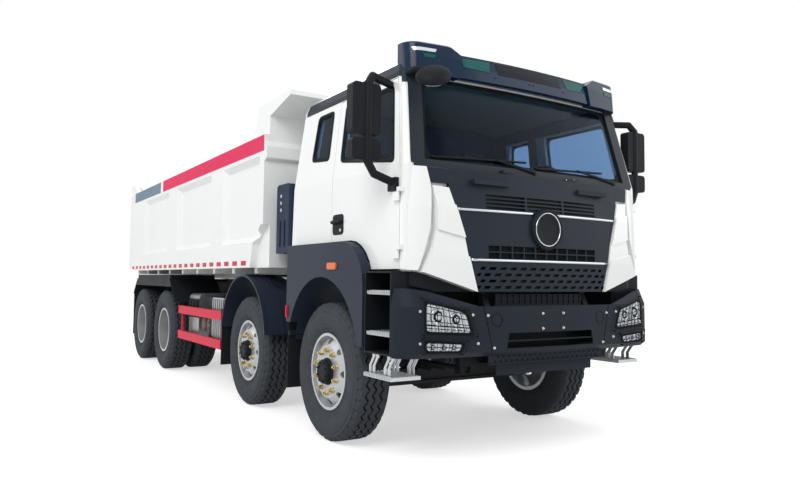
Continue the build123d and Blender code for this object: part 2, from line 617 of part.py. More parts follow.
def cab_skirt():
    """Dark filler under the feather panels, down to just above the bumper."""
    (foot_y, foot_z), (end_y, end_z) = feather_line()[0], FEATHER_END
    outline = [(foot_y, foot_z - SEAT_GAP), (end_y, end_z - SEAT_GAP), (1160, end_z - SEAT_GAP), (1160, 1240),
               (860, 1178), (foot_y, 1152)]
    sheet = skin_body(50) - skin_body(62)
    panel = sheet & front_prism(outline, (AXLE_1 + STEP_FRONT_AT + MOVE_GAP, AXLE_1 + 1400))
    return both_sides(panel - cab_body(-SEAT_GAP))


def slot_row(z, height, pitch, width, limit, start=0.0, lean=0.0):
    """Row of like openings centred on the lid, as four-cornered (y, z) outlines."""
    count, half, top = int((limit - start) / pitch), width / 2, z + height
    middles = [start + pitch * index for index in range(-count, count + 1)]
    return [[(y - half, z), (y + half, z), (y + half + lean, top), (y - half + lean, top)]
            for y in middles if abs(y) + half < limit]


def grille_openings():
    """Louvres, mesh windows and slanted slots of the lid in front view."""
    openings = []
    for index in range(4):
        openings += slot_row(1773 + 28 * index, 17, 372, 354, 760)
        openings += slot_row(1211 + 44 * index, 20, 92, 56, 580, start=46 * (index % 2), lean=14)
    for index in range(2):
        openings += slot_row(1424 + 49 * index, 40, 108, 98, 640, start=54)
    return openings


def lid_handle(y):
    """Bar handle on two feet across the top of the lid, between (low, high) limits of Y."""
    face = skin_face((y[0] + y[1]) / 2, 1955) - LID_INSET
    bar = block((face + 14, face + 36), y, (1938, 1972))
    for end in (y[0], y[1] - 24):
        bar += block((face - 20, face + 20), (end, end + 24), (1942, 1968))
    return bar


def grille_panel():
    """Front lid below the windscreen, hinged along its top edge."""
    line = feather_line(MOVE_GAP + 2)
    wing = deflector_line(MOVE_GAP + 4)[-2:]
    half = line + [(line[-1][0], wing[0][1])] + wing
    region = front_prism(half + [(-y, z) for y, z in reversed(half)], (AXLE_1 + 1000, AXLE_1 + 1400))
    lid = (skin_body(LID_INSET) - skin_body(LID_INSET + SKIN_WALL)) & region
    pockets = []
    for outline in grille_openings():
        y, z = (outline[0][0] + outline[2][0]) / 2, (outline[0][1] + outline[2][1]) / 2
        pockets.append(front_prism(outline, (skin_face(y, z) - LID_INSET - POCKET_DEPTH, BUMPER_FRONT)))
    lid = lid - pockets - cab_body(-MOVE_GAP)
    face = skin_face(0, 1647) - LID_INSET
    lid += rod(155, (face - 20, 0, 1647), (face + 8, 0, 1647))
    lid += both_sides(lid_handle((350, 668)))
    x = AXLE_1 + LID_PIN_AT
    knuckle_y = 270, 345 - SEAT_GAP
    lug = block((x - 10, x + 10), knuckle_y, (GRILLE_TOP_Z - 30, LID_PIN_Z))
    lug += rod(11, (x, knuckle_y[0], LID_PIN_Z), (x, knuckle_y[1], LID_PIN_Z))
    lug -= rod(LID_PIN_RADIUS + RUN_GAP, (x, knuckle_y[0], LID_PIN_Z), (x, knuckle_y[1], LID_PIN_Z))
    return lid + both_sides(lug)


def roof_visor():
    """Dark visor across the roof's front edge, with a raised pod at each end."""
    def form(rows, half):
        sections = [plan_section(z, AXLE_1 + 700, front, half, SKIN_BOW, 120) for z, front in rows]
        return loft(sections, ruled=True)
    front, foot, top = AXLE_1 + CAB_FRONT_AT, CAB_HEADER_Z - 15, CAB_ROOF_Z + 50
    peak = top + POD_RISE
    bar = form([(foot, front - 85), (foot + 85, front - 95), (top, front - 140)], VISOR_HALF)
    pods = form([(foot - 10, front - 70), (foot + 130, front - 80), (peak - 12, front - 95), (peak, front - 110)],
                VISOR_HALF + 10)
    side = front_prism([(POD_INNER_Y + 30, foot - 10), (1300, foot - 10), (1300, peak), (POD_INNER_Y + 110, peak),
                        (POD_INNER_Y, top - 30)], (AXLE_1 + 700, AXLE_1 + 1300))
    bar += both_sides(pods & side)
    bar &= block((AXLE_1 + 830, AXLE_1 + 1200), (-1100, 1100), (foot - 10, peak))
    return bar - cab_body(-SEAT_GAP)


def cab_interior():
    """Dashboard with the steering wheel on the left, and two seats."""
    floor = CAB_FLOOR_Z + CAB_WALL
    outline = [(1030, floor), (1030, 1960), (720, 1990), (690, 1860), (880, 1720), (920, floor)]
    dash = side_prism([(AXLE_1 + px, pz) for px, pz in outline], (-CAB_HALF + 80, CAB_HALF - 80))
    dash &= cab_body(CAB_WALL + 15) + block((AXLE_1 + 600, AXLE_1 + 1000), (-1085, 1085), (floor, floor + 20))
    column = rod(35, (AXLE_1 + 800, 480, 1850), (AXLE_1 + 600, 480, 2030))
    ring = Plane((AXLE_1 + 600, 480, 2030), z_dir=(-200, 0, 180)) * (Torus(215, 17) + Box(430, 40, 20))
    inside = dash + column + ring
    seat = block((AXLE_1 - 250, AXLE_1 + 260), (250, 750), (floor, 1780))
    back = [(-250, 1700), (-120, 1700), (-230, 2480), (-340, 2480)]
    seat += side_prism([(AXLE_1 + px, pz) for px, pz in back], (250, 750))
    return inside + both_sides(seat)


def bent_tube(radius, points):
    """Round tube through a row of points, with a ball at each bend."""
    tube = Part()
    for start, end in zip(points, points[1:]):
        tube += rod(radius, start, end)
    for point in points[1:-1]:
        tube += Pos(*point) * Sphere(radius)
    return tube


def mirror_arm():
    """Left mirrors: a bowed tubular arm from the door's top to a bracket at its belt, with two heads."""
    x, y = AXLE_1 + MIRROR_AT, MIRROR_Y
    arm = bent_tube(MIRROR_TUBE, [(x - 145, 1075, 2655), (x - 25, y - 45, 2660), (x, y, 2600), (x, y, 2060),
                                  (x + 10, y - 45, 1980), (x + 45, CAB_HALF - 20, 1915)])
    arm += block((x - 10, x + 90), (CAB_HALF - 20, CAB_HALF + 30), (1870, 1960))
    for low, high in MIRROR_HEADS:
        head = block((x - 75, x + 10), (y - 95, y + 125), (low, high))
        arm += fillet(head.edges().filter_by(Axis.X), 30)
    return arm - cab_body(-SEAT_GAP) - door()


def bumper_body(inset=0.0):
    """Outer form of the bumper, bevelled in along its foot."""
    rows = [(BUMPER_FOOT_Z, FRONT_OVERHANG - 40), (BUMPER_FOOT_Z + BUMPER_LIP, FRONT_OVERHANG),
            (BUMPER_DIP_Z, FRONT_OVERHANG - 5), (BUMPER_TOP_Z, FRONT_OVERHANG - 60)]
    return loft([plan_section(z, AXLE_1 + 700, AXLE_1 + front, BUMPER_HALF, BUMPER_BOW, BUMPER_CORNER, inset)
                 for z, front in rows], ruled=True)


def front_bumper():
    """Three-sided steel bumper with lamp openings, a lower slot, a mesh strip above and a step below."""
    shell = bumper_body() - bumper_body(BUMPER_WALL)
    shell &= block((AXLE_1 + BUMPER_REAR_AT, BUMPER_FRONT + 10), (-1300, 1300), (BUMPER_FOOT_Z, BUMPER_TOP_Z))
    dip = [(-1200, BUMPER_TOP_Z + 5), (-1030, 1192), (-660, BUMPER_DIP_Z), (660, BUMPER_DIP_Z), (1030, 1192),
           (1200, BUMPER_TOP_Z + 5)]
    shell -= front_prism(dip, (AXLE_1 + 900, BUMPER_FRONT + 50))
    reach = AXLE_1 + 1000, BUMPER_FRONT + 50
    shell -= front_prism([(-430, 800), (430, 800), (410, 905), (-410, 905)], reach)
    for outline in lamp_outlines():
        shell -= both_sides(front_prism(outline, reach))
    shell += block((BUMPER_FRONT - 60, BUMPER_FRONT - 18), (-440, 440), (846, 854))
    mount = block((RAIL_FRONT, BUMPER_FRONT - 25), (RAIL_INNER_Y + 15, RAIL_OUTER_Y - 2), (1010, 1080))
    mesh = block((AXLE_1 + 1150, AXLE_1 + 1162), (-430, 430), (1065, 1172))
    for index in range(-7, 8):
        for low in (1100, 1138):
            mesh -= block((AXLE_1 + 1155, AXLE_1 + 1162), (56 * index - 23, 56 * index + 23), (low, low + 30))
    mesh += block((AXLE_1 + 1150, BUMPER_FRONT - 12), (-430, 430), (1065, 1073)) & bumper_body()
    step_z = BUMPER_FOOT_Z - 60
    tread = block((AXLE_1 + 1120, BUMPER_FRONT - 45), (-560, 560), (step_z, step_z + 8))
    tread += block((BUMPER_FRONT - 65, BUMPER_FRONT - 57), (-560, 560), (step_z, BUMPER_FOOT_Z + 15))
    tread += block((BUMPER_FRONT - 90, BUMPER_FRONT - 80), (-470, 470), (step_z - 80, step_z + 4))
    return shell + both_sides(mount) + mesh + tread


def lamp_outlines(gap=0.0):
    """Headlamp and fog lamp openings on the left, in front view."""
    head = [(705 + gap, 905 + gap), (1070 - gap, 922 + gap), (1070 - gap, 1130 - gap), (762 + gap, 1055 - gap)]
    fog = [(806 + gap, 788 + gap), (1067 - gap, 797 + gap), (1074 - gap, 866 - gap), (778 + gap, 847 - gap)]
    return [head, fog]


def lamps():
    """Front lamp blocks behind the bumper's openings, and tail lamps on the rear bar."""
    shell = bumper_body(3) - bumper_body(90)
    pieces = Part()
    for outline in lamp_outlines(SEAT_GAP):
        pieces += both_sides(shell & front_prism(outline, (AXLE_1 + 1000, BUMPER_FRONT + 50)))
    return pieces + both_sides(block((RAIL_REAR - 90, RAIL_REAR - 60), (820, 1120), (650, 750)))


def cab_steps():
    """Step housings between the front mudguards and the bumper."""
    x = AXLE_1 + STEP_REAR_AT, AXLE_1 + STEP_FRONT_AT
    box = block(x, (900, 1235), (BUMPER_FOOT_Z + 10, CAB_FLOOR_Z - 15))
    box -= block((x[0] + 12, x[1] - 12), (915, 1300), (BUMPER_FOOT_Z + 22, CAB_FLOOR_Z - 27))
    stay = block((x[0] + 40, x[0] + 100), (RAIL_OUTER_Y, 900), (900, 980))
    return both_sides(box + stay)


def step_strap(x):
    """Outline of an S-bent strap in side view, from the hung tread up to the housing."""
    path = [(x, STEP_LOW_Z + 20), (x, STEP_LOW_Z + 70), (x + 45, STEP_LOW_Z + 130),
            (x + 45, BUMPER_FOOT_Z + 10 - SEAT_GAP)]
    return path + [(px - STRAP_WIDTH, pz) for px, pz in reversed(path)]


def step_treads():
    """Two treads in each housing and a lower tread hung on bent straps."""
    x = AXLE_1 + STEP_REAR_AT + 12, AXLE_1 + STEP_FRONT_AT - 12
    pieces = Part()
    for z in (885, 1165):
        tread = block(x, (915, 1225), (z, z + 25))
        pieces += both_sides(tread)
    low = block((x[0] - 30, x[1] + 10), (990, 1225), (STEP_LOW_Z - 5, STEP_LOW_Z + 20))
    for px in (x[0] + 30, x[0] + 80, x[1] - 100, x[1] - 50):
        for py in (1000, 1190):
            low += side_prism(step_strap(px), (py, py + 8))
    return pieces + both_sides(low)


def wheel_arch(x, y, sheet):
    """Half-round sheet over a wheel, as wide as the (low, high) limits of Y."""
    outer = rod(ARCH_RADIUS + sheet, (x, y[0], ARCH_CENTRE_Z), (x, y[1], ARCH_CENTRE_Z))
    outer -= rod(ARCH_RADIUS, (x, y[0], ARCH_CENTRE_Z), (x, y[1], ARCH_CENTRE_Z))
    return outer & block((x - 700, x + 700), y, (ARCH_CENTRE_Z + 80, ARCH_CENTRE_Z + 700))


def front_mudguards():
    """Moulded mudguards of the first axle and round sheet guards of the second."""
    rim_y = CAB_HALF + MOVE_GAP, ARCH_OUTER_Y
    moulding = side_prism(arch_outline(), rim_y)
    moulding -= rod(ARCH_RADIUS, (AXLE_1, 1000, ARCH_CENTRE_Z), (AXLE_1, 1300, ARCH_CENTRE_Z))
    moulding -= block((AXLE_1 - ARCH_RADIUS, AXLE_1 + ARCH_RADIUS), (1000, 1300), (0, ARCH_CENTRE_Z))
    guard = wheel_arch(AXLE_1, (660, rim_y[0] - SEAT_GAP), GUARD_SHEET)
    for end in (-1, 1):
        x = AXLE_1 + end * 590
        guard += block((x - 30, x + 30), (RAIL_OUTER_Y, 670), (900, 960))
    second = wheel_arch(AXLE_2, (860, ARCH_OUTER_Y), GUARD_SHEET)
    for y in (900, 1040, ARCH_OUTER_Y - 24):
        second += wheel_arch(AXLE_2, (y, y + 24), 3 * GUARD_SHEET)
    top = ARCH_CENTRE_Z + ARCH_RADIUS
    second += block((AXLE_2 - 20, AXLE_2 + 20), (RAIL_OUTER_Y, 1200), (top + 2, top + 24))
    second += block((AXLE_2 - 20, AXLE_2 + 20), (RAIL_OUTER_Y, RAIL_OUTER_Y + 20), (1000, top + 10))
    return both_sides(moulding) + both_sides(guard) + both_sides(second)


def rear_mudguards():
    """Flat-topped guards over the rear twin wheels."""
    y = 600, ARCH_OUTER_Y
    front, rear, top = AXLE_3 + 640, AXLE_4 - 600, 1245
    outline = [(front, 960), (AXLE_3 + 300, top), (AXLE_4 - 330, top), (rear, 1000)]
    inner = [(px, pz - GUARD_SHEET) for px, pz in reversed(outline)]
    guard = side_prism(outline + inner, y)
    skirt = [(AXLE_3 + 300, top), (AXLE_4 - 330, top), (AXLE_4 - 400, 1140), (AXLE_3 + 400, 1140)]
    guard += side_prism(skirt, (y[1] - GUARD_SHEET, y[1]))
    for x in (AXLE_3 + 200, BOGIE, AXLE_4 - 200):
        guard += block((x - 20, x + 20), (RAIL_OUTER_Y - 5, y[1] - 20), (top - 36, top - GUARD_SHEET))
    return both_sides(guard)


def side_guards():
    """Two rails along each side between the second and third axles."""
    front, rear = AXLE_2 - 740, AXLE_3 + 700
    rails = Part()
    for z in (480, 800):
        rails += block((rear, front), (1180, 1215), (z, z + 100))
    for x in (front - 80, rear + 40):
        rails += block((x, x + 40), (1160, 1180), (480, 900))
        rails += block((x, x + 40), (RAIL_OUTER_Y, 1170), (RAIL_FOOT_Z + 20, RAIL_FOOT_Z + 70))
    return both_sides(rails)


def battery_box():
    """Ribbed battery box on the right rail."""
    x = AXLE_2 - 1480, AXLE_2 - 900
    box = block(x, (-1120, -RAIL_OUTER_Y), (560, 1040))
    for index in range(6):
        z = 610 + 70 * index
        box -= block(x, (-1130, -1105), (z, z + 35))
    return box


def exhaust_box():
    """Silencer under a flat heat shield on the right rail."""
    x = AXLE_3 + 800, AXLE_2 - 1960
    box = block(x, (-1100, -560), (520, 1060))
    box = fillet(box.edges().filter_by(Axis.X), 60)
    return box + block((x[0] + 60, x[1] - 60), (-600, -RAIL_OUTER_Y), (RAIL_FOOT_Z + 20, RAIL_FOOT_Z + 120))


def air_tanks():
    """Two air reservoirs across the frame on the right."""
    tanks = Part()
    for x in (AXLE_2 - 1620, AXLE_2 - 1840):
        tank = rod(100, (x, -1080, 690), (x, -RAIL_OUTER_Y - 30, 690))
        tanks += fillet(tank.edges(), 35)
        tanks += block((x - 30, x + 30), (-620, -RAIL_OUTER_Y), (740, RAIL_FOOT_Z + 60))
    return tanks


def left_tanks():
    """Fuel tank and hydraulic oil tank on the left rail."""
    pieces = Part()
    for x in ((AXLE_2 - 1900, AXLE_2 - 900), (AXLE_3 + 800, AXLE_2 - 1960)):
        tank = block(x, (560, 1130), (500, 1080))
        tank = fillet(tank.edges().filter_by(Axis.X), 90)
        shelf = block((x[0] + 80, x[1] - 80), (RAIL_OUTER_Y, 600), (RAIL_FOOT_Z + 30, RAIL_FOOT_Z + 130))
        pieces += tank + shelf
    return pieces


def air_intake():
    """Air cleaner box with a stack pipe up its side, behind the cab on the right."""
    x = AXLE_1 - 1190, AXLE_1 - 850
    outline = [(x[0], 1500), (x[1], 1500), (x[1], 2100), (x[1] - 60, 2140), (x[0] + 60, 2140), (x[0], 2100)]
    box = side_prism(outline, (-1150, -800))
    box = fillet(box.edges().filter_by(Axis.Z), 40)
    pipe = x[1] - 40
    box += block((pipe - 35, pipe + 35), (-830, -740), (1600, 1700))
    box += rod(38, (pipe, -730, 1600), (pipe, -730, 2330))
    box += rod(62, (pipe, -730, 2330), (pipe, -730, 2400))
    box += block((x[0] + 60, x[1] - 60), (-1000, -RAIL_INNER_Y), (RAIL_TOP_Z, RAIL_TOP_Z + 30))
    return box + block((x[0] + 60, x[1] - 60), (-1000, -940), (RAIL_TOP_Z, 1500))


def bed_floor():
    """Deck, long beams, cross bearers and rear pivot lugs."""
    notch = block((BED_FRONT - 260, BED_FRONT), (-205, 205), (0, 3000))
    floor = block((BED_REAR, BED_FRONT), (-BED_INNER, BED_INNER), (BED_FOOT_Z, BED_DECK_Z))
    start = AXLE_1 + SUBFRAME_FRONT_AT
    beam = block((PIVOT_X - 120, start), (RAIL_INNER_Y, RAIL_OUTER_Y), (BED_BEAM_FOOT_Z, BED_FOOT_Z))
    floor += both_sides(beam)
    count = 9
    for index in range(count):
        x = BED_REAR + 60 + (BED_FRONT - 400 - BED_REAR - 120) * index / (count - 1)
        floor += block((x, x + 80), (-BED_INNER, BED_INNER), (BED_FOOT_Z - 55, BED_FOOT_Z))
    lug = side_prism([(PIVOT_X - 160, BED_FOOT_Z), (PIVOT_X - 60, PIVOT_Z), (PIVOT_X + 60, PIVOT_Z),
                      (PIVOT_X + 160, BED_FOOT_Z)], (240, 300))
    lug += rod(70, (PIVOT_X, 240, PIVOT_Z), (PIVOT_X, 300, PIVOT_Z))
    lug -= rod(PIVOT_RADIUS + RUN_GAP, (PIVOT_X, 200, PIVOT_Z), (PIVOT_X, 340, PIVOT_Z))
    return floor + both_sides(lug) - notch


def bed_side():
    """Left side wall with three bevelled panels, a stepped front foot and the tailgate's hinge ear."""
    outline = [(BED_REAR, BED_FOOT_Z), (BED_FRONT - 330, BED_FOOT_Z), (BED_FRONT - 270, BED_CORNER_Z - 180),
               (BED_FRONT - 60, BED_CORNER_Z), (BED_FRONT, BED_CORNER_Z), (BED_FRONT, BED_TOP_Z),
               (BED_REAR, BED_TOP_Z)]
    wall = side_prism(outline, (BED_INNER, BED_HALF))
    wall += block((BED_FRONT - 340, BED_FRONT), (BED_INNER, BED_INNER + 30), (BED_FOOT_Z, BED_CORNER_Z + 10))
    low, high = BED_PANEL_Z
    for rear, front in BED_PANELS_AT:
        middle = AXLE_1 + (rear + front) / 2, BED_HALF, (low + high) / 2
        face = Plane(middle, x_dir=(-1, 0, 0), z_dir=(0, -1, 0)) * Rectangle(front - rear, high - low)
        wall -= extrude(face, amount=BED_POCKET, taper=45)
    hinge_x, ear_top = BED_REAR - 80, TAILGATE_HINGE_Z + 60
    ear = side_prism([(BED_REAR + 330, BED_TOP_Z), (BED_REAR, BED_TOP_Z), (hinge_x - 20, TAILGATE_HINGE_Z - 55),
                      (hinge_x, ear_top), (BED_REAR + 60, ear_top)], (1190, BED_HALF))
    ear += rod(60, (hinge_x, 1190, TAILGATE_HINGE_Z), (hinge_x, BED_HALF, TAILGATE_HINGE_Z))
    ear -= rod(25 + RUN_GAP, (hinge_x, 1100, TAILGATE_HINGE_Z), (hinge_x, 1300, TAILGATE_HINGE_Z))
    return wall + ear


def bed_sides():
    return both_sides(bed_side())


def bed_front():
    """Front wall with the hoist recess and bracket, and the canopy that leans towards the cab."""
    rear = BED_FRONT - BED_FRONT_WALL
    wall = block((rear, BED_FRONT), (-BED_INNER, BED_INNER), (BED_DECK_Z, BED_TOP_Z))
    recess_top = 1900
    wall -= block((rear, BED_FRONT), (-200, 200), (BED_DECK_Z, recess_top))
    wall += block((BED_FRONT - 270, BED_FRONT), (200, 220), (BED_DECK_Z, recess_top + 20))
    wall += block((BED_FRONT - 270, BED_FRONT), (-220, -200), (BED_DECK_Z, recess_top + 20))
    wall += block((BED_FRONT - 280, BED_FRONT - 260), (-220, 220), (BED_DECK_Z, recess_top + 20))
    wall += block((BED_FRONT - 280, BED_FRONT), (-220, 220), (recess_top, recess_top + 20))
    lip = AXLE_1 + CANOPY_LIP_AT
    sheet = [(rear, BED_TOP_Z), (BED_FRONT, BED_TOP_Z), (BED_FRONT, 2825), (lip, CANOPY_TOP_Z - 40),
             (lip, CANOPY_TOP_Z), (rear, 2880)]
    wall += side_prism(sheet, (-BED_HALF + 50, BED_HALF - 50))
    cheek = [(BED_FRONT - 400, BED_TOP_Z), (BED_FRONT - 290, CANOPY_TOP_Z), (lip, CANOPY_TOP_Z),
             (lip, CANOPY_TOP_Z - 40), (BED_FRONT, 2825), (BED_FRONT, BED_TOP_Z)]
    wall += both_sides(side_prism(cheek, (BED_INNER, BED_HALF - 50)))
    half = EYE_WIDTH / 2
    eye_z = HOIST_EYE_Z
    ear = side_prism([(BED_FRONT, eye_z - 130), (HOIST_X, eye_z - 50), (HOIST_X, eye_z + 50),
                      (BED_FRONT, eye_z + 130)], (half, half + 20))
    ear += rod(50, (HOIST_X, half, HOIST_EYE_Z), (HOIST_X, half + 20, HOIST_EYE_Z))
    ear -= rod(EYE_BORE, (HOIST_X, 0, HOIST_EYE_Z), (HOIST_X, 200, HOIST_EYE_Z))
    return wall + both_sides(ear)


def tailgate():
    """Tailgate hung from its top corners, with a ribbed outer face."""
    face = BED_REAR - MOVE_GAP
    low, high = BED_FOOT_Z + 20, BED_TOP_Z - 10
    gate = block((face - TAILGATE_SKIN, face), (-BED_HALF, BED_HALF), (low, high))
    for y in (-1190, -600, 0, 600, 1190):
        gate += block((TRUCK_REAR, face), (y - 60, y + 60), (low, high))
    for z in (low, high - 110):
        gate += block((TRUCK_REAR, face), (-BED_HALF, BED_HALF), (z, z + 110))
    hinge_x = BED_REAR - 80
    arm = block((hinge_x - 45, hinge_x + 45), (1100, 1180), (high - 50, TAILGATE_HINGE_Z))
    arm += rod(45, (hinge_x, 1100, TAILGATE_HINGE_Z), (hinge_x, 1180, TAILGATE_HINGE_Z))
    arm += rod(25, (hinge_x, 1170, TAILGATE_HINGE_Z), (hinge_x, BED_HALF - 5, TAILGATE_HINGE_Z))
    return gate + both_sides(arm)


def hoist_radius(stage):
    """Outer radius of a hoist piece, the barrel being stage 0."""
    return HOIST_RADIUS - stage * (HOIST_WALL + SEAT_GAP)


def hoist_barrel():
    low, high = HOIST_FOOT_Z - 65, HOIST_EYE_Z - 190
    barrel = rod(HOIST_RADIUS, (HOIST_X, 0, low), (HOIST_X, 0, high))
    reach = HOIST_RADIUS + 50
    barrel += rod(TRUNNION_RADIUS, (HOIST_X, -reach, HOIST_FOOT_Z), (HOIST_X, reach, HOIST_FOOT_Z))
    return barrel - rod(HOIST_RADIUS - HOIST_WALL, (HOIST_X, 0, low + 15), (HOIST_X, 0, high))


def hoist_tube(stage):
    low = HOIST_FOOT_Z - 50 + SEAT_GAP + 10 * (stage - 1)
    high = HOIST_EYE_Z - 190 + 20 * stage
    radius = hoist_radius(stage)
    tube = rod(radius, (HOIST_X, 0, low), (HOIST_X, 0, high))
    if stage < HOIST_STAGES:
        return tube - rod(radius - HOIST_WALL, (HOIST_X, 0, low + 10 - SEAT_GAP), (HOIST_X, 0, high))
    half = EYE_WIDTH / 2 - SEAT_GAP
    tube += block((HOIST_X - EYE_RADIUS, HOIST_X + EYE_RADIUS), (-half, half), (high, HOIST_EYE_Z))
    tube += rod(EYE_RADIUS, (HOIST_X, -half, HOIST_EYE_Z), (HOIST_X, half, HOIST_EYE_Z))
    return tube - rod(EYE_BORE, (HOIST_X, -half, HOIST_EYE_Z), (HOIST_X, half, HOIST_EYE_Z))


def wheel_nodes():
    """Knuckles, wheels and tyres of both sides, by node name."""
    nodes = {}
    for number, x in ((1, AXLE_1), (2, AXLE_2)):
        left = {"knuckle": knuckle(x), "wheel": front_wheel(x), "tyre": tyre(x, FRONT_TRACK_HALF)}
        for piece, solid in left.items():
            nodes[f"{piece}_{number}_left"] = solid
            nodes[f"{piece}_{number}_right"] = opposite(solid)
    for number, x in ((3, AXLE_3), (4, AXLE_4)):
        left = {"wheel": twin_wheel(x), "tyre": tyre(x, TWIN_OUTER) + tyre(x, TWIN_INNER)}
        for piece, solid in left.items():
            nodes[f"{piece}_{number}_left"] = solid
            nodes[f"{piece}_{number}_right"] = opposite(solid)
    return nodes


def all_nodes():
    """Every piece of the truck, by node name."""
    makers = [chassis_frame, sub_frame, front_axles, rear_axles, leaf_springs, powertrain, front_bumper, lamps,
              cab_steps, step_treads, front_mudguards, rear_mudguards, side_guards, battery_box, exhaust_box,
              air_tanks, left_tanks, air_intake, cab_shell, cab_glass, roof_visor, corner_panels, cab_skirt,
              cab_interior, grille_panel, bed_floor, bed_sides, bed_front, tailgate, hoist_barrel]
    nodes = {maker.__name__: maker() for maker in makers}
    for piece, maker in (("door", door), ("door_glass", door_glass), ("door_mirror", mirror_arm)):
        nodes[f"{piece}_left"] = maker()
        nodes[f"{piece}_right"] = opposite(nodes[f"{piece}_left"])
    for stage in range(1, HOIST_STAGES):
        nodes[f"hoist_tube_{stage}"] = hoist_tube(stage)
    nodes["hoist_rod"] = hoist_tube(HOIST_STAGES)
    nodes.update(wheel_nodes())
    return nodes


os.makedirs("parts", exist_ok=True)
for name, shape in all_nodes().items():
    export_step(shape, f"parts/{name}.step")
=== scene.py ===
import logging
import math
from dataclasses import dataclass, field
from enum import Enum
from typing import Sequence

import bpy
import numpy as np
from mathutils import Matrix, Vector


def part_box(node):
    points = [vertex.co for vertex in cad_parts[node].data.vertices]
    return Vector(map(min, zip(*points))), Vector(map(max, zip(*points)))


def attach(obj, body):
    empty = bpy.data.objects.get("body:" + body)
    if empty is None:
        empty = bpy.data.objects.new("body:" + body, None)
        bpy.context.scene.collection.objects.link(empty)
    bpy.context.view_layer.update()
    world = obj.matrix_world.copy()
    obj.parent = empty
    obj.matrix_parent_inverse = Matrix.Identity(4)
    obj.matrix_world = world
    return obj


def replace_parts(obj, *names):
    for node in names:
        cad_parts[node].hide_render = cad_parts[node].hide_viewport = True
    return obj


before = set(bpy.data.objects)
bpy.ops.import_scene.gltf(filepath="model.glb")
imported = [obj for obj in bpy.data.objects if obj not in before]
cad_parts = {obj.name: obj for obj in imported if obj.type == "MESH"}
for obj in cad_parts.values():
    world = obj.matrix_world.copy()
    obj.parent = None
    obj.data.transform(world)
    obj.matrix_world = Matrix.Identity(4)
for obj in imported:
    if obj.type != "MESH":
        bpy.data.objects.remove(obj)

LOG = logging.getLogger("dump_truck")
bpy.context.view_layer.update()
MM_PER_M = 1000
GLOSS_SWING = 0.15

Array = np.ndarray
Mesh = tuple[Array, ...]
Points = Sequence[Sequence[float]]
Pair = tuple[float, float]
Trio = tuple[float, float, float]
Outline = tuple[Pair, ...]


class Side(Enum):
    """The truck's two sides, with the sign of Y on each."""

    LEFT = 1
    RIGHT = -1

    @property
    def word(self) -> str:
        """The side's name as the nodes write it."""
        return self.name.lower()

    def flip(self, places: Points) -> Array:
        """(y, z) places on the left, as places on this side."""
        return np.array(places) * [self.value, 1]


def linear(hex_colour: str) -> tuple[float, float, float, float]:
    """Turn an sRGB hex colour to linear RGBA.

    Args:
        hex_colour: Six hex digits, such as "d8d8d8".

    Returns:
        Linear red, green, blue and an alpha of 1.
    """
    channels = np.array([int(hex_colour[i:i + 2], 16) for i in (0, 2, 4)]) / 255
    curve = np.where(channels <= 0.04045, channels / 12.92, ((channels + 0.055) / 1.055) ** 2.4)
    return (*curve.tolist(), 1.0)


def add_node(tree: bpy.types.NodeTree, kind: str, values: dict | None = None, links: dict | None = None,
             **settings: object) -> bpy.types.Node:
    """Add one shader node, set it and link its inputs.

    Args:
        tree: Node tree that receives the node.
        kind: The node's type name.
        values: Input socket name or index to a constant.
        links: Input socket name or index to an output socket.
        **settings: Attributes of the node itself.

    Returns:
        The new node.
    """
    node = tree.nodes.new(kind)
    for name, value in settings.items():
        setattr(node, name, value)
    for socket, value in (values or {}).items():
        node.inputs[socket].default_value = value
    for socket, output in (links or {}).items():
        tree.links.new(output, node.inputs[socket])
    return node


@dataclass(frozen=True)
class Finish:
    """A real surface: its colour, its gloss and the size of its mottling and grain.

    The colour wanders between colour and shade over patches of patch_mm, the roughness wanders with it, and a
    bump of grain_mm stands for orange peel, moulded grain or cast skin. Coat is a clear lacquer, transmission is for
    glass, and specular is lowered where a surface is dull.
    """

    name: str
    colour: str
    shade: str
    roughness: float
    metallic: float = 0.0
    ior: float = 1.5
    coat: float = 0.0
    transmission: float = 0.0
    specular: float = 0.5
    patch_mm: float = 400.0
    grain_mm: float = 6.0
    bump: float = 0.05

    def build(self) -> bpy.types.Material:
        """Make the Blender material.

        Returns:
            The material, or the one already made under this name.
        """
        made = bpy.data.materials.get(self.name)
        if made:
            return made
        material = bpy.data.materials.new(self.name)
        material.use_nodes = True
        tree = material.node_tree
        shader = tree.nodes["Principled BSDF"]
        spot = add_node(tree, "ShaderNodeTexCoord").outputs["Object"]
        patches = add_node(tree, "ShaderNodeTexNoise",
                           {"Scale": MM_PER_M / self.patch_mm, "Detail": 5.0, "Roughness": 0.6}, {"Vector": spot})
        colours = add_node(tree, "ShaderNodeMix", {6: linear(self.colour), 7: linear(self.shade)},
                           {0: patches.outputs["Fac"]}, data_type="RGBA")
        ends = {"To Min": self.roughness * (1 - GLOSS_SWING), "To Max": self.roughness * (1 + GLOSS_SWING)}
        gloss = add_node(tree, "ShaderNodeMapRange", ends, {"Value": patches.outputs["Fac"]})
        if self.bump:
            grain = add_node(tree, "ShaderNodeTexNoise", {"Scale": MM_PER_M / self.grain_mm, "Detail": 2.0},
                             {"Vector": spot})
            bump = add_node(tree, "ShaderNodeBump",
                            {"Strength": self.bump, "Distance": 0.25 * self.grain_mm / MM_PER_M},
                            {"Height": grain.outputs["Fac"]})
            tree.links.new(bump.outputs["Normal"], shader.inputs["Normal"])
        tree.links.new(colours.outputs[2], shader.inputs["Base Color"])
        tree.links.new(gloss.outputs["Result"], shader.inputs["Roughness"])
        for socket, value in (("Metallic", self.metallic), ("IOR", self.ior), ("Coat Weight", self.coat),
                              ("Transmission Weight", self.transmission), ("Specular IOR Level", self.specular)):
            shader.inputs[socket].default_value = value
        return material


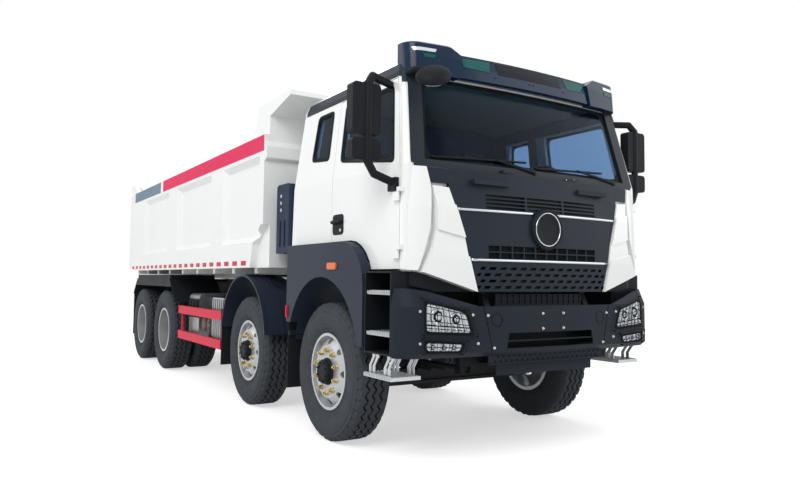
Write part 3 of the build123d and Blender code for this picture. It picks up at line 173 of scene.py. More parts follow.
class Finishes:
    """Every finish on the truck, named for the real material and how its surface was made, or for the shade that it
    paints.
    """

    # Cab enamel: sprayed and baked, glossy, with the faintest orange peel.
    CAB_WHITE = Finish("baked_white_enamel", "eff1f0", "e8ebea", 0.24, coat=0.5, patch_mm=900, grain_mm=9, bump=0.02)
    # Bed paint: sprayed on welded plate, a little duller and wavier.
    BED_WHITE = Finish("sprayed_white_bed_paint", "eff1f0", "e7eae9", 0.38, coat=0.15, patch_mm=700, grain_mm=14,
                       bump=0.05)
    # Slate plastic: painted front panels, smooth with a soft, dull sheen.
    SLATE = Finish("painted_slate_abs", "262d37", "20272f", 0.42, specular=0.12, patch_mm=500, grain_mm=5, bump=0.03)
    # Navy visor: painted moulding that still mirrors the sky at its edges.
    NAVY = Finish("glossy_navy_moulding", "0f2a45", "0c2138", 0.18, coat=0.06, specular=0.18, patch_mm=600, grain_mm=8,
                  bump=0.02)
    # Pillar covers: satin dark-grey moulding with a fine spark-eroded grain.
    PILLAR = Finish("satin_grey_moulding", "272d36", "21262e", 0.42, specular=0.15, patch_mm=400, grain_mm=4, bump=0.08)
    # Fender moulding: painted thermoplastic, a bluish slate with a soft sheen.
    FENDER = Finish("painted_slate_fender", "2a3241", "242b38", 0.42, specular=0.12, patch_mm=450, grain_mm=5,
                    bump=0.06)
    # Glossy black: lacquered panel that mirrors its surroundings a little.
    BLACK_GLOSS = Finish("lacquered_black_panel", "0a1320", "080e18", 0.12, coat=0.1, specular=0.15, patch_mm=300,
                         grain_mm=10, bump=0.01)
    # Air cleaner: dark blue-black roto-moulding with a dimpled skin.
    CLEANER = Finish("moulded_blue_black_polyethylene", "1e2b42", "172337", 0.48, specular=0.15, patch_mm=200,
                     grain_mm=6, bump=0.1)
    # Black plastic: moulded polypropylene with a leathery grain.
    BLACK_PLASTIC = Finish("grained_black_polypropylene", "1b1e23", "14171b", 0.55, specular=0.12, patch_mm=300,
                           grain_mm=3, bump=0.15)
    # Bumper steel: powder-coated plate, matte dark grey.
    BUMPER = Finish("powder_coated_bumper_steel", "252a33", "1f242c", 0.5, specular=0.1, patch_mm=500, grain_mm=2.5,
                    bump=0.1)
    # Frame paint: black chassis enamel over rolled channel.
    FRAME = Finish("black_chassis_enamel", "191b20", "121418", 0.45, specular=0.15, patch_mm=350, grain_mm=8, bump=0.1)
    # Cast iron: rough sand-cast skin under thin paint.
    CAST = Finish("sand_cast_iron", "2a2b2d", "212224", 0.62, metallic=0.4, specular=0.3, patch_mm=120, grain_mm=5,
                  bump=0.3)
    # Wheel paint: silver metallic sprayed on pressed steel.
    WHEEL = Finish("silver_wheel_paint", "bcbec0", "a8abad", 0.34, metallic=0.6, patch_mm=200, grain_mm=4, bump=0.05)
    # Tyre rubber: moulded and dull, with a faint bluish bloom.
    RUBBER = Finish("moulded_tyre_rubber", "464a4f", "3a3d42", 0.74, specular=0.1, patch_mm=90, grain_mm=2.5, bump=0.2)
    # Flap rubber: extruded sheet, matte and nearly black.
    FLAP = Finish("extruded_flap_rubber", "1a1c20", "131518", 0.7, specular=0.2, patch_mm=120, grain_mm=4, bump=0.1)
    # Zinc nuts: yellow-passivated, a pale brass look.
    YELLOW_ZINC = Finish("yellow_zinc_nut", "d2c193", "b8a678", 0.36, metallic=0.8, patch_mm=25, grain_mm=2, bump=0.05)
    # Bright zinc: plated bolt heads, pale and lightly clouded.
    BRIGHT_ZINC = Finish("bright_zinc_plate", "d9dad6", "c3c4bf", 0.3, metallic=0.9, patch_mm=15, grain_mm=2, bump=0.05)
    # Tread aluminium: pressed sheet, satin.
    ALUMINIUM = Finish("pressed_tread_aluminium", "c3c6c8", "aeb2b5", 0.32, metallic=0.9, patch_mm=120, grain_mm=3,
                       bump=0.08)
    # Chrome strip: plated plastic, mirror-bright.
    CHROME = Finish("plated_chrome_strip", "bcc0c6", "b1b6bc", 0.14, metallic=1.0, patch_mm=300, grain_mm=5, bump=0.01)
    # Hoist tubes: hard-chromed and ground.
    HOIST = Finish("ground_hard_chrome", "c2c5c8", "b5b8bb", 0.16, metallic=1.0, patch_mm=250, grain_mm=2, bump=0.02)
    # Window glass: toughened and tinted blue, with a coating that takes most of its reflections away.
    GLASS = Finish("tinted_toughened_glass", "9cb8d4", "94b0cd", 0.0, ior=1.12, transmission=1.0, patch_mm=900,
                   bump=0.0)
    # Mirror: silvered glass.
    MIRROR = Finish("silvered_mirror_glass", "cfd6da", "c8cfd3", 0.04, metallic=1.0, bump=0.0)
    # Lamp lens: clear polycarbonate over a bright reflector.
    LENS = Finish("clear_polycarbonate_lens", "dfe4e8", "c9d0d6", 0.12, metallic=0.35, coat=0.8, patch_mm=18,
                  grain_mm=10, bump=0.25)
    # Teal lens: tinted acrylic, deep and glossy.
    TEAL_LENS = Finish("teal_acrylic_lens", "145c58", "0f4d4a", 0.2, coat=0.1, specular=0.15, patch_mm=60, grain_mm=8,
                       bump=0.1)
    # Amber lens: moulded acrylic with a prismatic back.
    AMBER_LENS = Finish("amber_acrylic_lens", "e8762a", "d4631c", 0.2, coat=0.3, specular=0.3, patch_mm=30, grain_mm=6,
                        bump=0.12)
    # Red lens: moulded acrylic with a prismatic back.
    RED_LENS = Finish("red_acrylic_lens", "d11733", "b5122a", 0.25, coat=0.05, specular=0.08, patch_mm=25, grain_mm=5,
                      bump=0.15)
    # Guard paint: red enamel on pressed rail, satin.
    RED_PAINT = Finish("red_guard_enamel", "d81f40", "c81a38", 0.42, specular=0.1, patch_mm=300, grain_mm=8, bump=0.05)
    # Stripes: matte printed vinyl, flat and even.
    STRIPE_RED = Finish("crimson_vinyl_stripe", "e23a63", "da325b", 0.55, specular=0.08, patch_mm=600, grain_mm=10,
                        bump=0.02)
    STRIPE_GREY = Finish("slate_vinyl_stripe", "798c9d", "6f8294", 0.55, specular=0.08, patch_mm=600, grain_mm=10,
                         bump=0.02)
    # Air tanks: brown primer on welded steel, dull and patchy.
    TANK_BROWN = Finish("brown_primer_tank", "5a463c", "49382f", 0.5, patch_mm=150, grain_mm=6, bump=0.1)
    # Fuel tanks: rolled aluminium sheet, softly clouded.
    TANK_GREY = Finish("rolled_aluminium_tank", "9ea3a7", "8b9094", 0.38, metallic=0.8, patch_mm=250, grain_mm=6,
                       bump=0.05)
    # Heat shield: stamped steel with a dimpled skin.
    SHIELD = Finish("stamped_steel_shield", "a8abad", "8d9092", 0.36, metallic=0.85, patch_mm=120, grain_mm=9, bump=0.2)
    # Cab trim: grained dark vinyl over foam.
    TRIM = Finish("grained_cab_trim", "46556f", "3d4b63", 0.6, specular=0.15, patch_mm=200, grain_mm=2.5, bump=0.15)
    # Headliner: brushed khaki-grey needle felt.
    HEADLINER = Finish("needle_felt_headliner", "9a9a84", "8c8c78", 0.9, specular=0.1, patch_mm=60, grain_mm=3,
                       bump=0.3)
    # Seat cover: coarse woven cloth, drawn at twice its real pitch so that it shows.
    SEAT_FABRIC = Finish("woven_seat_cloth", "56627a", "454f63", 0.85, specular=0.1, patch_mm=30, grain_mm=5, bump=0.4)
    # Wire: plastic-coated, black with a dull sheen.
    BLACK_WIRE = Finish("coated_black_wire", "17191d", "111316", 0.5, specular=0.15, patch_mm=80, grain_mm=3, bump=0.05)
    # Slot ends: flat black with no sheen, painted shade that stands for the depth of slots that are not cut into the
    # lid.
    SLOT_SHADE = Finish("painted_slot_shade", "040506", "030304", 0.95, specular=0.0, patch_mm=100, grain_mm=4)
    # Seals: extruded rubber, nearly black. The same near-black is painted shade in the lid's pockets, the tread grooves
    # and the bumper step's holes.
    SEAL = Finish("extruded_black_rubber", "121418", "0d0f12", 0.6, specular=0.1, patch_mm=120, grain_mm=3, bump=0.05)


FINISHED_NODES = (
    (Finishes.BLACK_PLASTIC, "cab_skirt cab_steps rear_mudguards battery_box door_mirror"),
    (Finishes.FRAME, "chassis_frame sub_frame hoist_barrel"),
    (Finishes.CAST, "front_axles rear_axles leaf_springs powertrain knuckle"),
    (Finishes.CAB_WHITE, "cab_shell corner_panels door"),
    (Finishes.BED_WHITE, "bed_floor bed_sides bed_front tailgate"),
    (Finishes.HOIST, "hoist_tube hoist_rod"), (Finishes.GLASS, "cab_glass door_glass"),
    (Finishes.BUMPER, "front_bumper"), (Finishes.LENS, "lamps"), (Finishes.ALUMINIUM, "step_treads"),
    (Finishes.FENDER, "front_mudguards"), (Finishes.RED_PAINT, "side_guards"), (Finishes.SHIELD, "exhaust_box"),
    (Finishes.TANK_BROWN, "air_tanks"), (Finishes.TANK_GREY, "left_tanks"), (Finishes.CLEANER, "air_intake"),
    (Finishes.NAVY, "roof_visor"), (Finishes.TRIM, "cab_interior"), (Finishes.SLATE, "grille_panel"),
    (Finishes.WHEEL, "wheel"), (Finishes.RUBBER, "tyre"),
)
NODE_FINISHES = {node: finish for finish, nodes in FINISHED_NODES for node in nodes.split()}


@dataclass
class Surface:
    """Vertices and faces of one piece, gathered from arrays."""

    vertices: list[Array] = field(default_factory=list)
    faces: list[Array] = field(default_factory=list)
    count: int = 0

    def add(self, vertices: Array, *faces: Array) -> "Surface":
        """Add a patch of mesh.

        Args:
            vertices: Points, one a row.
            *faces: Index arrays into those points, one face a row.

        Returns:
            The surface itself.
        """
        points = np.asarray(vertices, float).reshape(-1, 3)
        self.vertices.append(points)
        self.faces.extend(np.asarray(patch, int) + self.count for patch in faces if len(patch))
        self.count += len(points)
        return self

    def piece(self, name: str, finish: Finish, body: str, slot: str, smooth: bool = False) -> bpy.types.Object:
        """Make the Blender object, finish it and set it riding.

        Args:
            name: The piece's name.
            finish: Its surface.
            body: CAD body that it moves with.
            slot: Name of a material slot; not used.
            smooth: Whether its faces are shaded smooth.

        Returns:
            The new object.
        """
        mesh = bpy.data.meshes.new(name)
        points = np.vstack(self.vertices)
        loops = np.concatenate([patch.ravel() for patch in self.faces])
        sizes = np.concatenate([np.full(len(patch), patch.shape[1]) for patch in self.faces])
        starts = np.concatenate([[0], np.cumsum(sizes)[:-1]])
        mesh.vertices.add(len(points))
        mesh.vertices.foreach_set("co", points.ravel())
        mesh.loops.add(len(loops))
        mesh.loops.foreach_set("vertex_index", loops)
        mesh.polygons.add(len(sizes))
        mesh.polygons.foreach_set("loop_start", starts)
        mesh.polygons.foreach_set("use_smooth", np.full(len(sizes), smooth))
        mesh.update(calc_edges=True)
        mesh.validate()
        mesh.materials.append(finish.build())
        piece = bpy.data.objects.new(name, mesh)
        bpy.context.scene.collection.objects.link(piece)
        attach(piece, body)
        LOG.info("%s rides on %s with %d faces", name, body, len(sizes))
        return piece


def grid_faces(rows: int, columns: int, wrap_rows: bool = False, wrap_columns: bool = False) -> Array:
    """Quads of a grid of points stored row by row.

    Args:
        rows: Number of rows.
        columns: Number of points in a row.
        wrap_rows: Whether the last row joins the first.
        wrap_columns: Whether the last column joins the first.

    Returns:
        Index array with four columns.
    """
    i, j = np.meshgrid(np.arange(rows if wrap_rows else rows - 1),
                       np.arange(columns if wrap_columns else columns - 1), indexing="ij")
    down, across = (i + 1) % rows, (j + 1) % columns
    quads = np.stack([i * columns + j, down * columns + j, down * columns + across, i * columns + across], -1)
    return quads.reshape(-1, 4)


def blocks(centres: Array, half: Array, axes: Array | None = None) -> Mesh:
    """Boxes of one or several sizes: centre plus or minus half along three axes.

    Args:
        centres: Middle points, one a row.
        half: Half sizes, one row for all or one a box.
        axes: Three unit rows that turn every box, or None for X, Y and Z.

    Returns:
        Vertices and quads.
    """
    centres = np.asarray(centres, float).reshape(-1, 3)
    turn = np.eye(3) if axes is None else np.asarray(axes, float)
    signs = np.array([(a, b, c) for a in (-1, 1) for b in (-1, 1) for c in (-1, 1)], float)
    spread = np.broadcast_to(np.asarray(half, float), centres.shape)
    points = centres[:, None] + (signs[None] * spread[:, None]) @ turn
    quads = np.array([(0, 1, 3, 2), (4, 6, 7, 5), (0, 4, 5, 1), (2, 3, 7, 6), (0, 2, 6, 4), (1, 5, 7, 3)])
    index = (np.arange(len(centres)) * 8)[:, None, None] + quads[None]
    return points.reshape(-1, 3), index.reshape(-1, 4)


def outward(points: Array, *patches: Array) -> list[Array]:
    """Turn the faces of closed shells so that they point out: their signed volume has to be positive.

    Args:
        points: Vertices, one a row.
        *patches: Index arrays whose faces already agree with each other.

    Returns:
        The patches, all kept or all turned round.
    """
    volume = 0.0
    for patch in patches:
        first = points[patch[:, 0]]
        for k in range(1, patch.shape[1] - 1):
            volume += np.einsum("ij,ij->", first, np.cross(points[patch[:, k]], points[patch[:, k + 1]]))
    return [patch if volume > 0 else patch[:, ::-1] for patch in patches]


def capped(rings: Array) -> Mesh:
    """Closed form through rings of points, with a flat face over the first ring and the last.

    Args:
        rings: Points, rings by points on each by three.

    Returns:
        Vertices, side quads and the two end faces.
    """
    rows, columns = rings.shape[:2]
    points, here = rings.reshape(-1, 3), np.arange(columns)
    ends = np.stack([here, (rows - 1) * columns + here[::-1]])
    return (points, *outward(points, grid_faces(rows, columns, wrap_columns=True), ends))


def prisms(outline: Array, origins: Array, across: Array, up: Array, depth: float) -> Mesh:
    """Copies of a flat outline, each drawn out along across x up.

    Args:
        outline: (u, v) points in order round it.
        origins: Foot of each copy, one a row.
        across: Direction of u, one for all or one a copy.
        up: Direction of v, likewise.
        depth: How far the outline is drawn out.

    Returns:
        Vertices, side quads and the two end faces of every copy.
    """
    outline, origins = np.asarray(outline, float), np.asarray(origins, float).reshape(-1, 3)
    across = np.broadcast_to(np.asarray(across, float), origins.shape)
    up = np.broadcast_to(np.asarray(up, float), origins.shape)
    out = np.cross(across, up)
    flat = (origins[:, None] + outline[None, :, :1] * across[:, None] + outline[None, :, 1:] * up[:, None])
    points = np.concatenate([flat, flat + depth * out[:, None]], 1).reshape(-1, 3)
    count = len(outline)
    step = (np.arange(len(origins)) * 2 * count)[:, None, None]
    here = np.arange(count)
    after = (here + 1) % count
    sides = np.stack([here, after, after + count, here + count], -1)[None] + step
    ends = np.stack([here[::-1], here + count])[None] + step
    return (points, *outward(points, sides.reshape(-1, 4), ends.reshape(-1, count)))


def plate(outer: Array, inner: Array) -> Mesh:
    """Closed plate between two like grids of points: both grids, and walls along their four edges.

    Args:
        outer: Grid of points, rows by columns by three.
        inner: Grid of the same shape behind it.

    Returns:
        Vertices and quads.
    """
    rows, columns = outer.shape[:2]
    points = np.concatenate([outer.reshape(-1, 3), inner.reshape(-1, 3)])
    face, count = grid_faces(rows, columns), rows * columns
    index = np.arange(count).reshape(rows, columns)
    rim = np.concatenate([index[0, :-1], index[:-1, -1], index[-1, :0:-1], index[:0:-1, 0]])
    after = np.roll(rim, -1)
    walls = np.stack([rim, after, after + count, rim + count], -1)
    return (points, *outward(points, np.concatenate([face, face[:, ::-1] + count, walls])))


def band(*loops: Array) -> Mesh:
    """Closed ring: like loops of points, each joined to the next and the last to the first."""
    stack = np.stack(loops)
    points = stack.reshape(-1, 3)
    return (points, *outward(points, grid_faces(len(stack), stack.shape[1], True, True)))


def turned(profile: Points, centre: Array, axis: Sequence[float], steps: int = 28,
           squeeze: float = 1.0) -> Mesh:
    """Solid of revolution: (radius, height) points carried round an axis, closed by a flat face at each end.

    Args:
        profile: (radius, height) points, no radius being nought.
        centre: Where the height is nought.
        axis: Direction of the height.
        steps: Points round the axis.
        squeeze: Share by which one of the two radii is shortened, 1 for a true circle.

    Returns:
        Vertices, side quads and the two end faces.
    """
    rows, axis = np.asarray(profile, float), np.asarray(axis, float)
    axis = axis / np.linalg.norm(axis)
    first = np.cross(axis, [1.0, 0, 0] if abs(axis[0]) < 0.9 else [0, 1.0, 0])
    first /= np.linalg.norm(first)
    second = np.cross(axis, first) * squeeze
    ring = polygon(1.0, steps) @ np.stack([first, second])
    return capped(np.asarray(centre, float) + rows[:, :1, None] * ring[None] + rows[:, 1:, None] * axis)


def polygon(radius: float, count: int, turn: float = 0.0) -> Array:
    """Regular polygon of count corners on a circle, the first at the angle turn."""
    angles = turn + np.arange(count) * 2 * math.pi / count
    return radius * np.column_stack([np.cos(angles), np.sin(angles)])


def rounded(width: float, height: float, radius: float, steps: int = 4) -> Array:
    """Rectangle about the origin whose corners are quarter circles.

    Args:
        width: Size along u.
        height: Size along v.
        radius: Corner radius.
        steps: Points on each quarter.

    Returns:
        (u, v) points, anticlockwise.
    """
    quarter = np.linspace(0, math.pi / 2, steps)
    corners = []
    for index, (su, sv) in enumerate(((1, 1), (-1, 1), (-1, -1), (1, -1))):
        angles = quarter + index * math.pi / 2
        centre = np.array([su * (width / 2 - radius), sv * (height / 2 - radius)])
        corners.append(centre + radius * np.column_stack([np.cos(angles), np.sin(angles)]))
    return np.vstack(corners)


def loop(corners: Points, radius: float, steps: int = 5, run: int = 6) -> Array:
    """Closed outline with rounded corners: each is a parabola between points a radius along its two edges.

    Args:
        corners: (u, v) points in order.
        radius: How far from a corner its rounding starts.
        steps: Points on each rounding.
        run: Points on each edge between two roundings.

    Returns:
        (u, v) points, the same number for any outline of as many corners.
    """
    corners = np.asarray(corners, float)
    back, ahead = np.roll(corners, 1, 0) - corners, np.roll(corners, -1, 0) - corners
    start = corners + radius * back / np.linalg.norm(back, axis=1, keepdims=True)
    end = corners + radius * ahead / np.linalg.norm(ahead, axis=1, keepdims=True)
    t = np.linspace(0, 1, steps)[None, :, None]
    arcs = (1 - t) ** 2 * start[:, None] + 2 * t * (1 - t) * corners[:, None] + t ** 2 * end[:, None]
    s = np.linspace(0, 1, run + 2)[1:-1][None, :, None]
    runs = (1 - s) * end[:, None] + s * np.roll(start, -1, 0)[:, None]
    return np.concatenate([arcs, runs], 1).reshape(-1, 2)


def grown(corners: Points, gap: float) -> Array:
    """Outline moved out square to its edges: each corner goes along the sum of its two edge normals.

    Args:
        corners: (u, v) points in order.
        gap: How far the edges move out, or in where it is negative.

    Returns:
        The new corners.
    """
    corners = np.asarray(corners, float)
    ahead = np.roll(corners, -1, 0) - corners
    ahead /= np.linalg.norm(ahead, axis=1, keepdims=True)
    after = np.roll(corners, -1, 0)
    turn = np.sign(np.sum(corners[:, 0] * after[:, 1] - after[:, 0] * corners[:, 1]))
    normal = turn * np.column_stack([ahead[:, 1], -ahead[:, 0]])
    before = np.roll(normal, 1, 0)
    return corners + gap * (normal + before) / (1 + np.sum(normal * before, 1, keepdims=True))


def between(corners: Points, u: Array, v: Array) -> Array:
    """Points inside a four-cornered outline: straight blends of its corners, across by u and up by v.

    Args:
        corners: Lower first, lower second, upper second and upper first corner.
        u: Shares across.
        v: Shares up.

    Returns:
        Points, shaped as u and v are and two deep.
    """
    a, b, c, d = np.asarray(corners, float)
    u, v = np.asarray(u, float)[..., None], np.asarray(v, float)[..., None]
    return (1 - u) * (1 - v) * a + u * (1 - v) * b + u * v * c + (1 - u) * v * d


def tube(path: Points, radius: float | Array, sides: int = 8) -> Mesh:
    """Round bar: a circle carried along a path and turned square to it at every point.

    Args:
        path: Points along the bar's middle.
        radius: Bar radius, one for all or one a point.
        sides: Facets round the bar.

    Returns:
        Vertices, side quads and the two end faces.
    """
    points = np.asarray(path, float)
    along = np.gradient(points, axis=0)
    along /= np.linalg.norm(along, axis=1, keepdims=True)
    helper = np.where(np.abs(along[:, 2:]) < 0.9, [[0.0, 0.0, 1.0]], [[1.0, 0.0, 0.0]])
    first = np.cross(along, helper)
    first /= np.linalg.norm(first, axis=1, keepdims=True)
    second = np.cross(along, first)
    ring = polygon(1.0, sides) @ np.stack([first, second], 1)
    spread = np.broadcast_to(np.asarray(radius, float), (len(points),))[:, None, None]
    return capped(points[:, None] + spread * ring)


def bent(points: Points, count: int = 24) -> Array:
    """Smooth path near its guide points: straight blends of the runs, each bend cut by a parabola.

    Args:
        points: Guide points.
        count: Points on the path.

    Returns:
        Points on the path, ends included.
    """
    guide = np.asarray(points, float)
    middles = (guide[1:] + guide[:-1]) / 2
    starts, ends = np.vstack([guide[:1], middles[1:-1]]), np.vstack([middles[1:-1], guide[-1:]])
    t = np.linspace(0, 1, count // len(starts))[None, :, None]
    arcs = (1 - t) ** 2 * starts[:, None] + 2 * t * (1 - t) * guide[1:-1][:, None] + t ** 2 * ends[:, None]
    path = arcs.reshape(-1, 3)
    keep = np.r_[True, np.linalg.norm(np.diff(path, axis=0), axis=1) > 1e-6]
    return path[keep]


def pad(centre: Sequence[float], half: Sequence[float], axes: Array, square: float = 0.35,
        crown: float = 0.12) -> Mesh:
    """Crowned cushion: a ball whose sines and cosines are raised to a small power, pulled in between corners.

    Args:
        centre: Middle of the cushion.
        half: Half width, half length and half thickness.
        axes: Three unit rows that the sizes lie along.
        square: Power of the sines and cosines, smaller for a squarer cushion.
        crown: How far the sides pull in between corners, as a share of the half size.

    Returns:
        Vertices, quads and the two small end faces.
    """
    rows, columns = 20, 48
    u = np.linspace(-math.pi / 2 + 0.06, math.pi / 2 - 0.06, rows)[:, None]
    v = (np.arange(columns) * 2 * math.pi / columns)[None]
    cosines, sines = (np.sign(f(v)) * np.abs(f(v)) ** square for f in (np.cos, np.sin))
    girth = np.cos(u) ** square * (1 - crown * np.cos(2 * v) ** 2 * np.cos(u) ** 2)
    rise = np.sign(np.sin(u)) * np.abs(np.sin(u)) ** square
    local = np.stack([half[0] * girth * cosines, half[1] * girth * sines,
                      np.broadcast_to(half[2] * rise, (rows, columns))], -1)
    return capped(np.asarray(centre, float) + local @ np.asarray(axes, float))


def middle(node: str) -> Array:
    """Middle of a CAD node's box."""
    return sum(low_high(node)) / 2


def low_high(node: str) -> tuple[Array, Array]:
    """Lowest and highest corner of a CAD node's box."""
    return tuple(np.array(corner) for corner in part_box(node))


FRONT_AXLE = float(middle("tyre_1_left")[0])
FORWARD, LEFTWARD, UPWARD = np.eye(3)


def place(points: Points | Sequence[float], side: Side = Side.LEFT) -> Array:
    """Points measured forward of the first axle and on the left, as points of the frame on either side."""
    return np.asarray(points, float) * [1, side.value, 1] + [FRONT_AXLE, 0, 0]


def points_at(*coordinates: float | Array) -> Array:
    """Points from their coordinates, each of which is one value for all or an array of values."""
    return np.stack(np.broadcast_arrays(*coordinates), -1)


def box_between(x: Sequence[float], y: Sequence[float], z: Sequence[float], side: Side = Side.LEFT) -> Mesh:
    """Box between its two ends along each axis, which are measured as place() measures them."""
    low, high = np.array([x, y, z], float).T
    return blocks(place([(low + high) / 2], side), (high - low) / 2)


def cells(*axes: Array) -> list[Array]:
    """Grids of the values of two axes, the second axis running along the rows' columns."""
    return np.meshgrid(*axes, indexing="ij")


@dataclass(frozen=True)
class BowedFace:
    """Front face of a CAD form: a level arc with rounded ends, whose reach and width change with height."""

    heights: tuple[float, ...]
    reaches: tuple[float, ...]
    halves: tuple[float, ...]
    bow: float
    corner: float

    def at(self, places: Array, lift: float | Array = 0.0) -> Array:
        """Points on the face: the bow's circle in the middle, and the corner's circle past where they touch.

        Args:
            places: (y, z) points, in any shape of array two deep.
            lift: How far the points stand proud of the face.

        Returns:
            Points in the frame, shaped as the places are.
        """
        places = np.asarray(places, float)
        y, z = places[..., 0], places[..., 1]
        half = np.interp(z, self.heights, self.halves) + lift
        front = np.interp(z, self.heights, self.reaches) + lift
        radius = (half ** 2 + self.bow ** 2) / (2 * self.bow)
        corner = self.corner + lift
        heart = front - radius
        turn_y = half - corner
        turn_x = heart + np.sqrt((radius - corner) ** 2 - turn_y ** 2)
        bowed = heart + np.sqrt(radius ** 2 - y ** 2)
        rounded_end = turn_x + np.sqrt(np.maximum(corner ** 2 - (np.abs(y) - turn_y) ** 2, 0))
        x = np.where(np.abs(y) < turn_y * radius / (radius - corner), bowed, rounded_end)
        return points_at(FRONT_AXLE + x, y, z)

    def patch(self, corners: Points, lift: float, depth: float, across: int = 12, up: int = 3) -> Mesh:
        """Plate that follows the face inside four (y, z) corners."""
        u, v = cells(np.linspace(0, 1, across), np.linspace(0, 1, up))
        spots = between(corners, u, v)
        return plate(self.at(spots, lift), self.at(spots, lift - depth))

    def ring(self, outer: Array, inner: Array, lift: float, depth: float) -> Mesh:
        """Frame that follows the face between two (y, z) loops."""
        return band(self.at(outer, lift), self.at(inner, lift), self.at(inner, lift - depth),
                    self.at(outer, lift - depth))


CAB_FACE = BowedFace((1.340, 2.050, 2.740, 2.810), (1.160, 1.150, 0.985, 0.955), (1.165, 1.165, 1.085, 1.055),
                     0.060, 0.050)
SKIN_FACE = BowedFace((1.190, 1.410, 1.755, 2.035), (1.235, 1.240, 1.230, 1.200), (1.165,) * 4, 0.090, 0.160)
BUMPER_FACE = BowedFace((0.750, 0.785, 1.092, 1.210), (1.260, 1.300, 1.295, 1.240), (1.245,) * 4, 0.110, 0.200)
VISOR_FACE = BowedFace((2.725, 2.810, 2.910), (1.075, 1.065, 1.020), (1.055,) * 3, 0.090, 0.120)
POD_FACE = BowedFace((2.715, 2.855, 2.938, 2.950), (1.090, 1.080, 1.065, 1.050), (1.065,) * 4, 0.090, 0.120)


def cab_side(places: Array, side: Side, lift: float | Array = 0.0) -> Array:
    """Points on the cab's side: Y falls off above the belt line as the walls lean in.

    Args:
        places: (x, z) points, x forward of the first axle.
        side: Which side of the cab.
        lift: How far the points stand proud.

    Returns:
        Points in the frame.
    """
    places = np.asarray(places, float)
    y = np.interp(places[..., 1], CAB_FACE.heights, CAB_FACE.halves) + lift
    return place(points_at(places[..., 0], y, places[..., 1]), side)


def side_sheet(spots: Array, side: Side, outer: float, inner: float) -> Mesh:
    """Plate along the cab's side through (x, z) spots, between two lifts."""
    return plate(cab_side(spots, side, outer), cab_side(spots, side, inner))


@dataclass(frozen=True)
class PocketRows:
    """Rows of like pockets in the lid: each row's height above ground, and its pockets' size and spacing.

    No pocket reaches past limit. Every second row is shifted by stagger, and the pockets' tops lean by lean.
    """

    feet: tuple[float, ...]
    height: float
    pitch: float
    width: float
    limit: float
    start: float = 0.0
    stagger: float = 0.0
    lean: float = 0.0


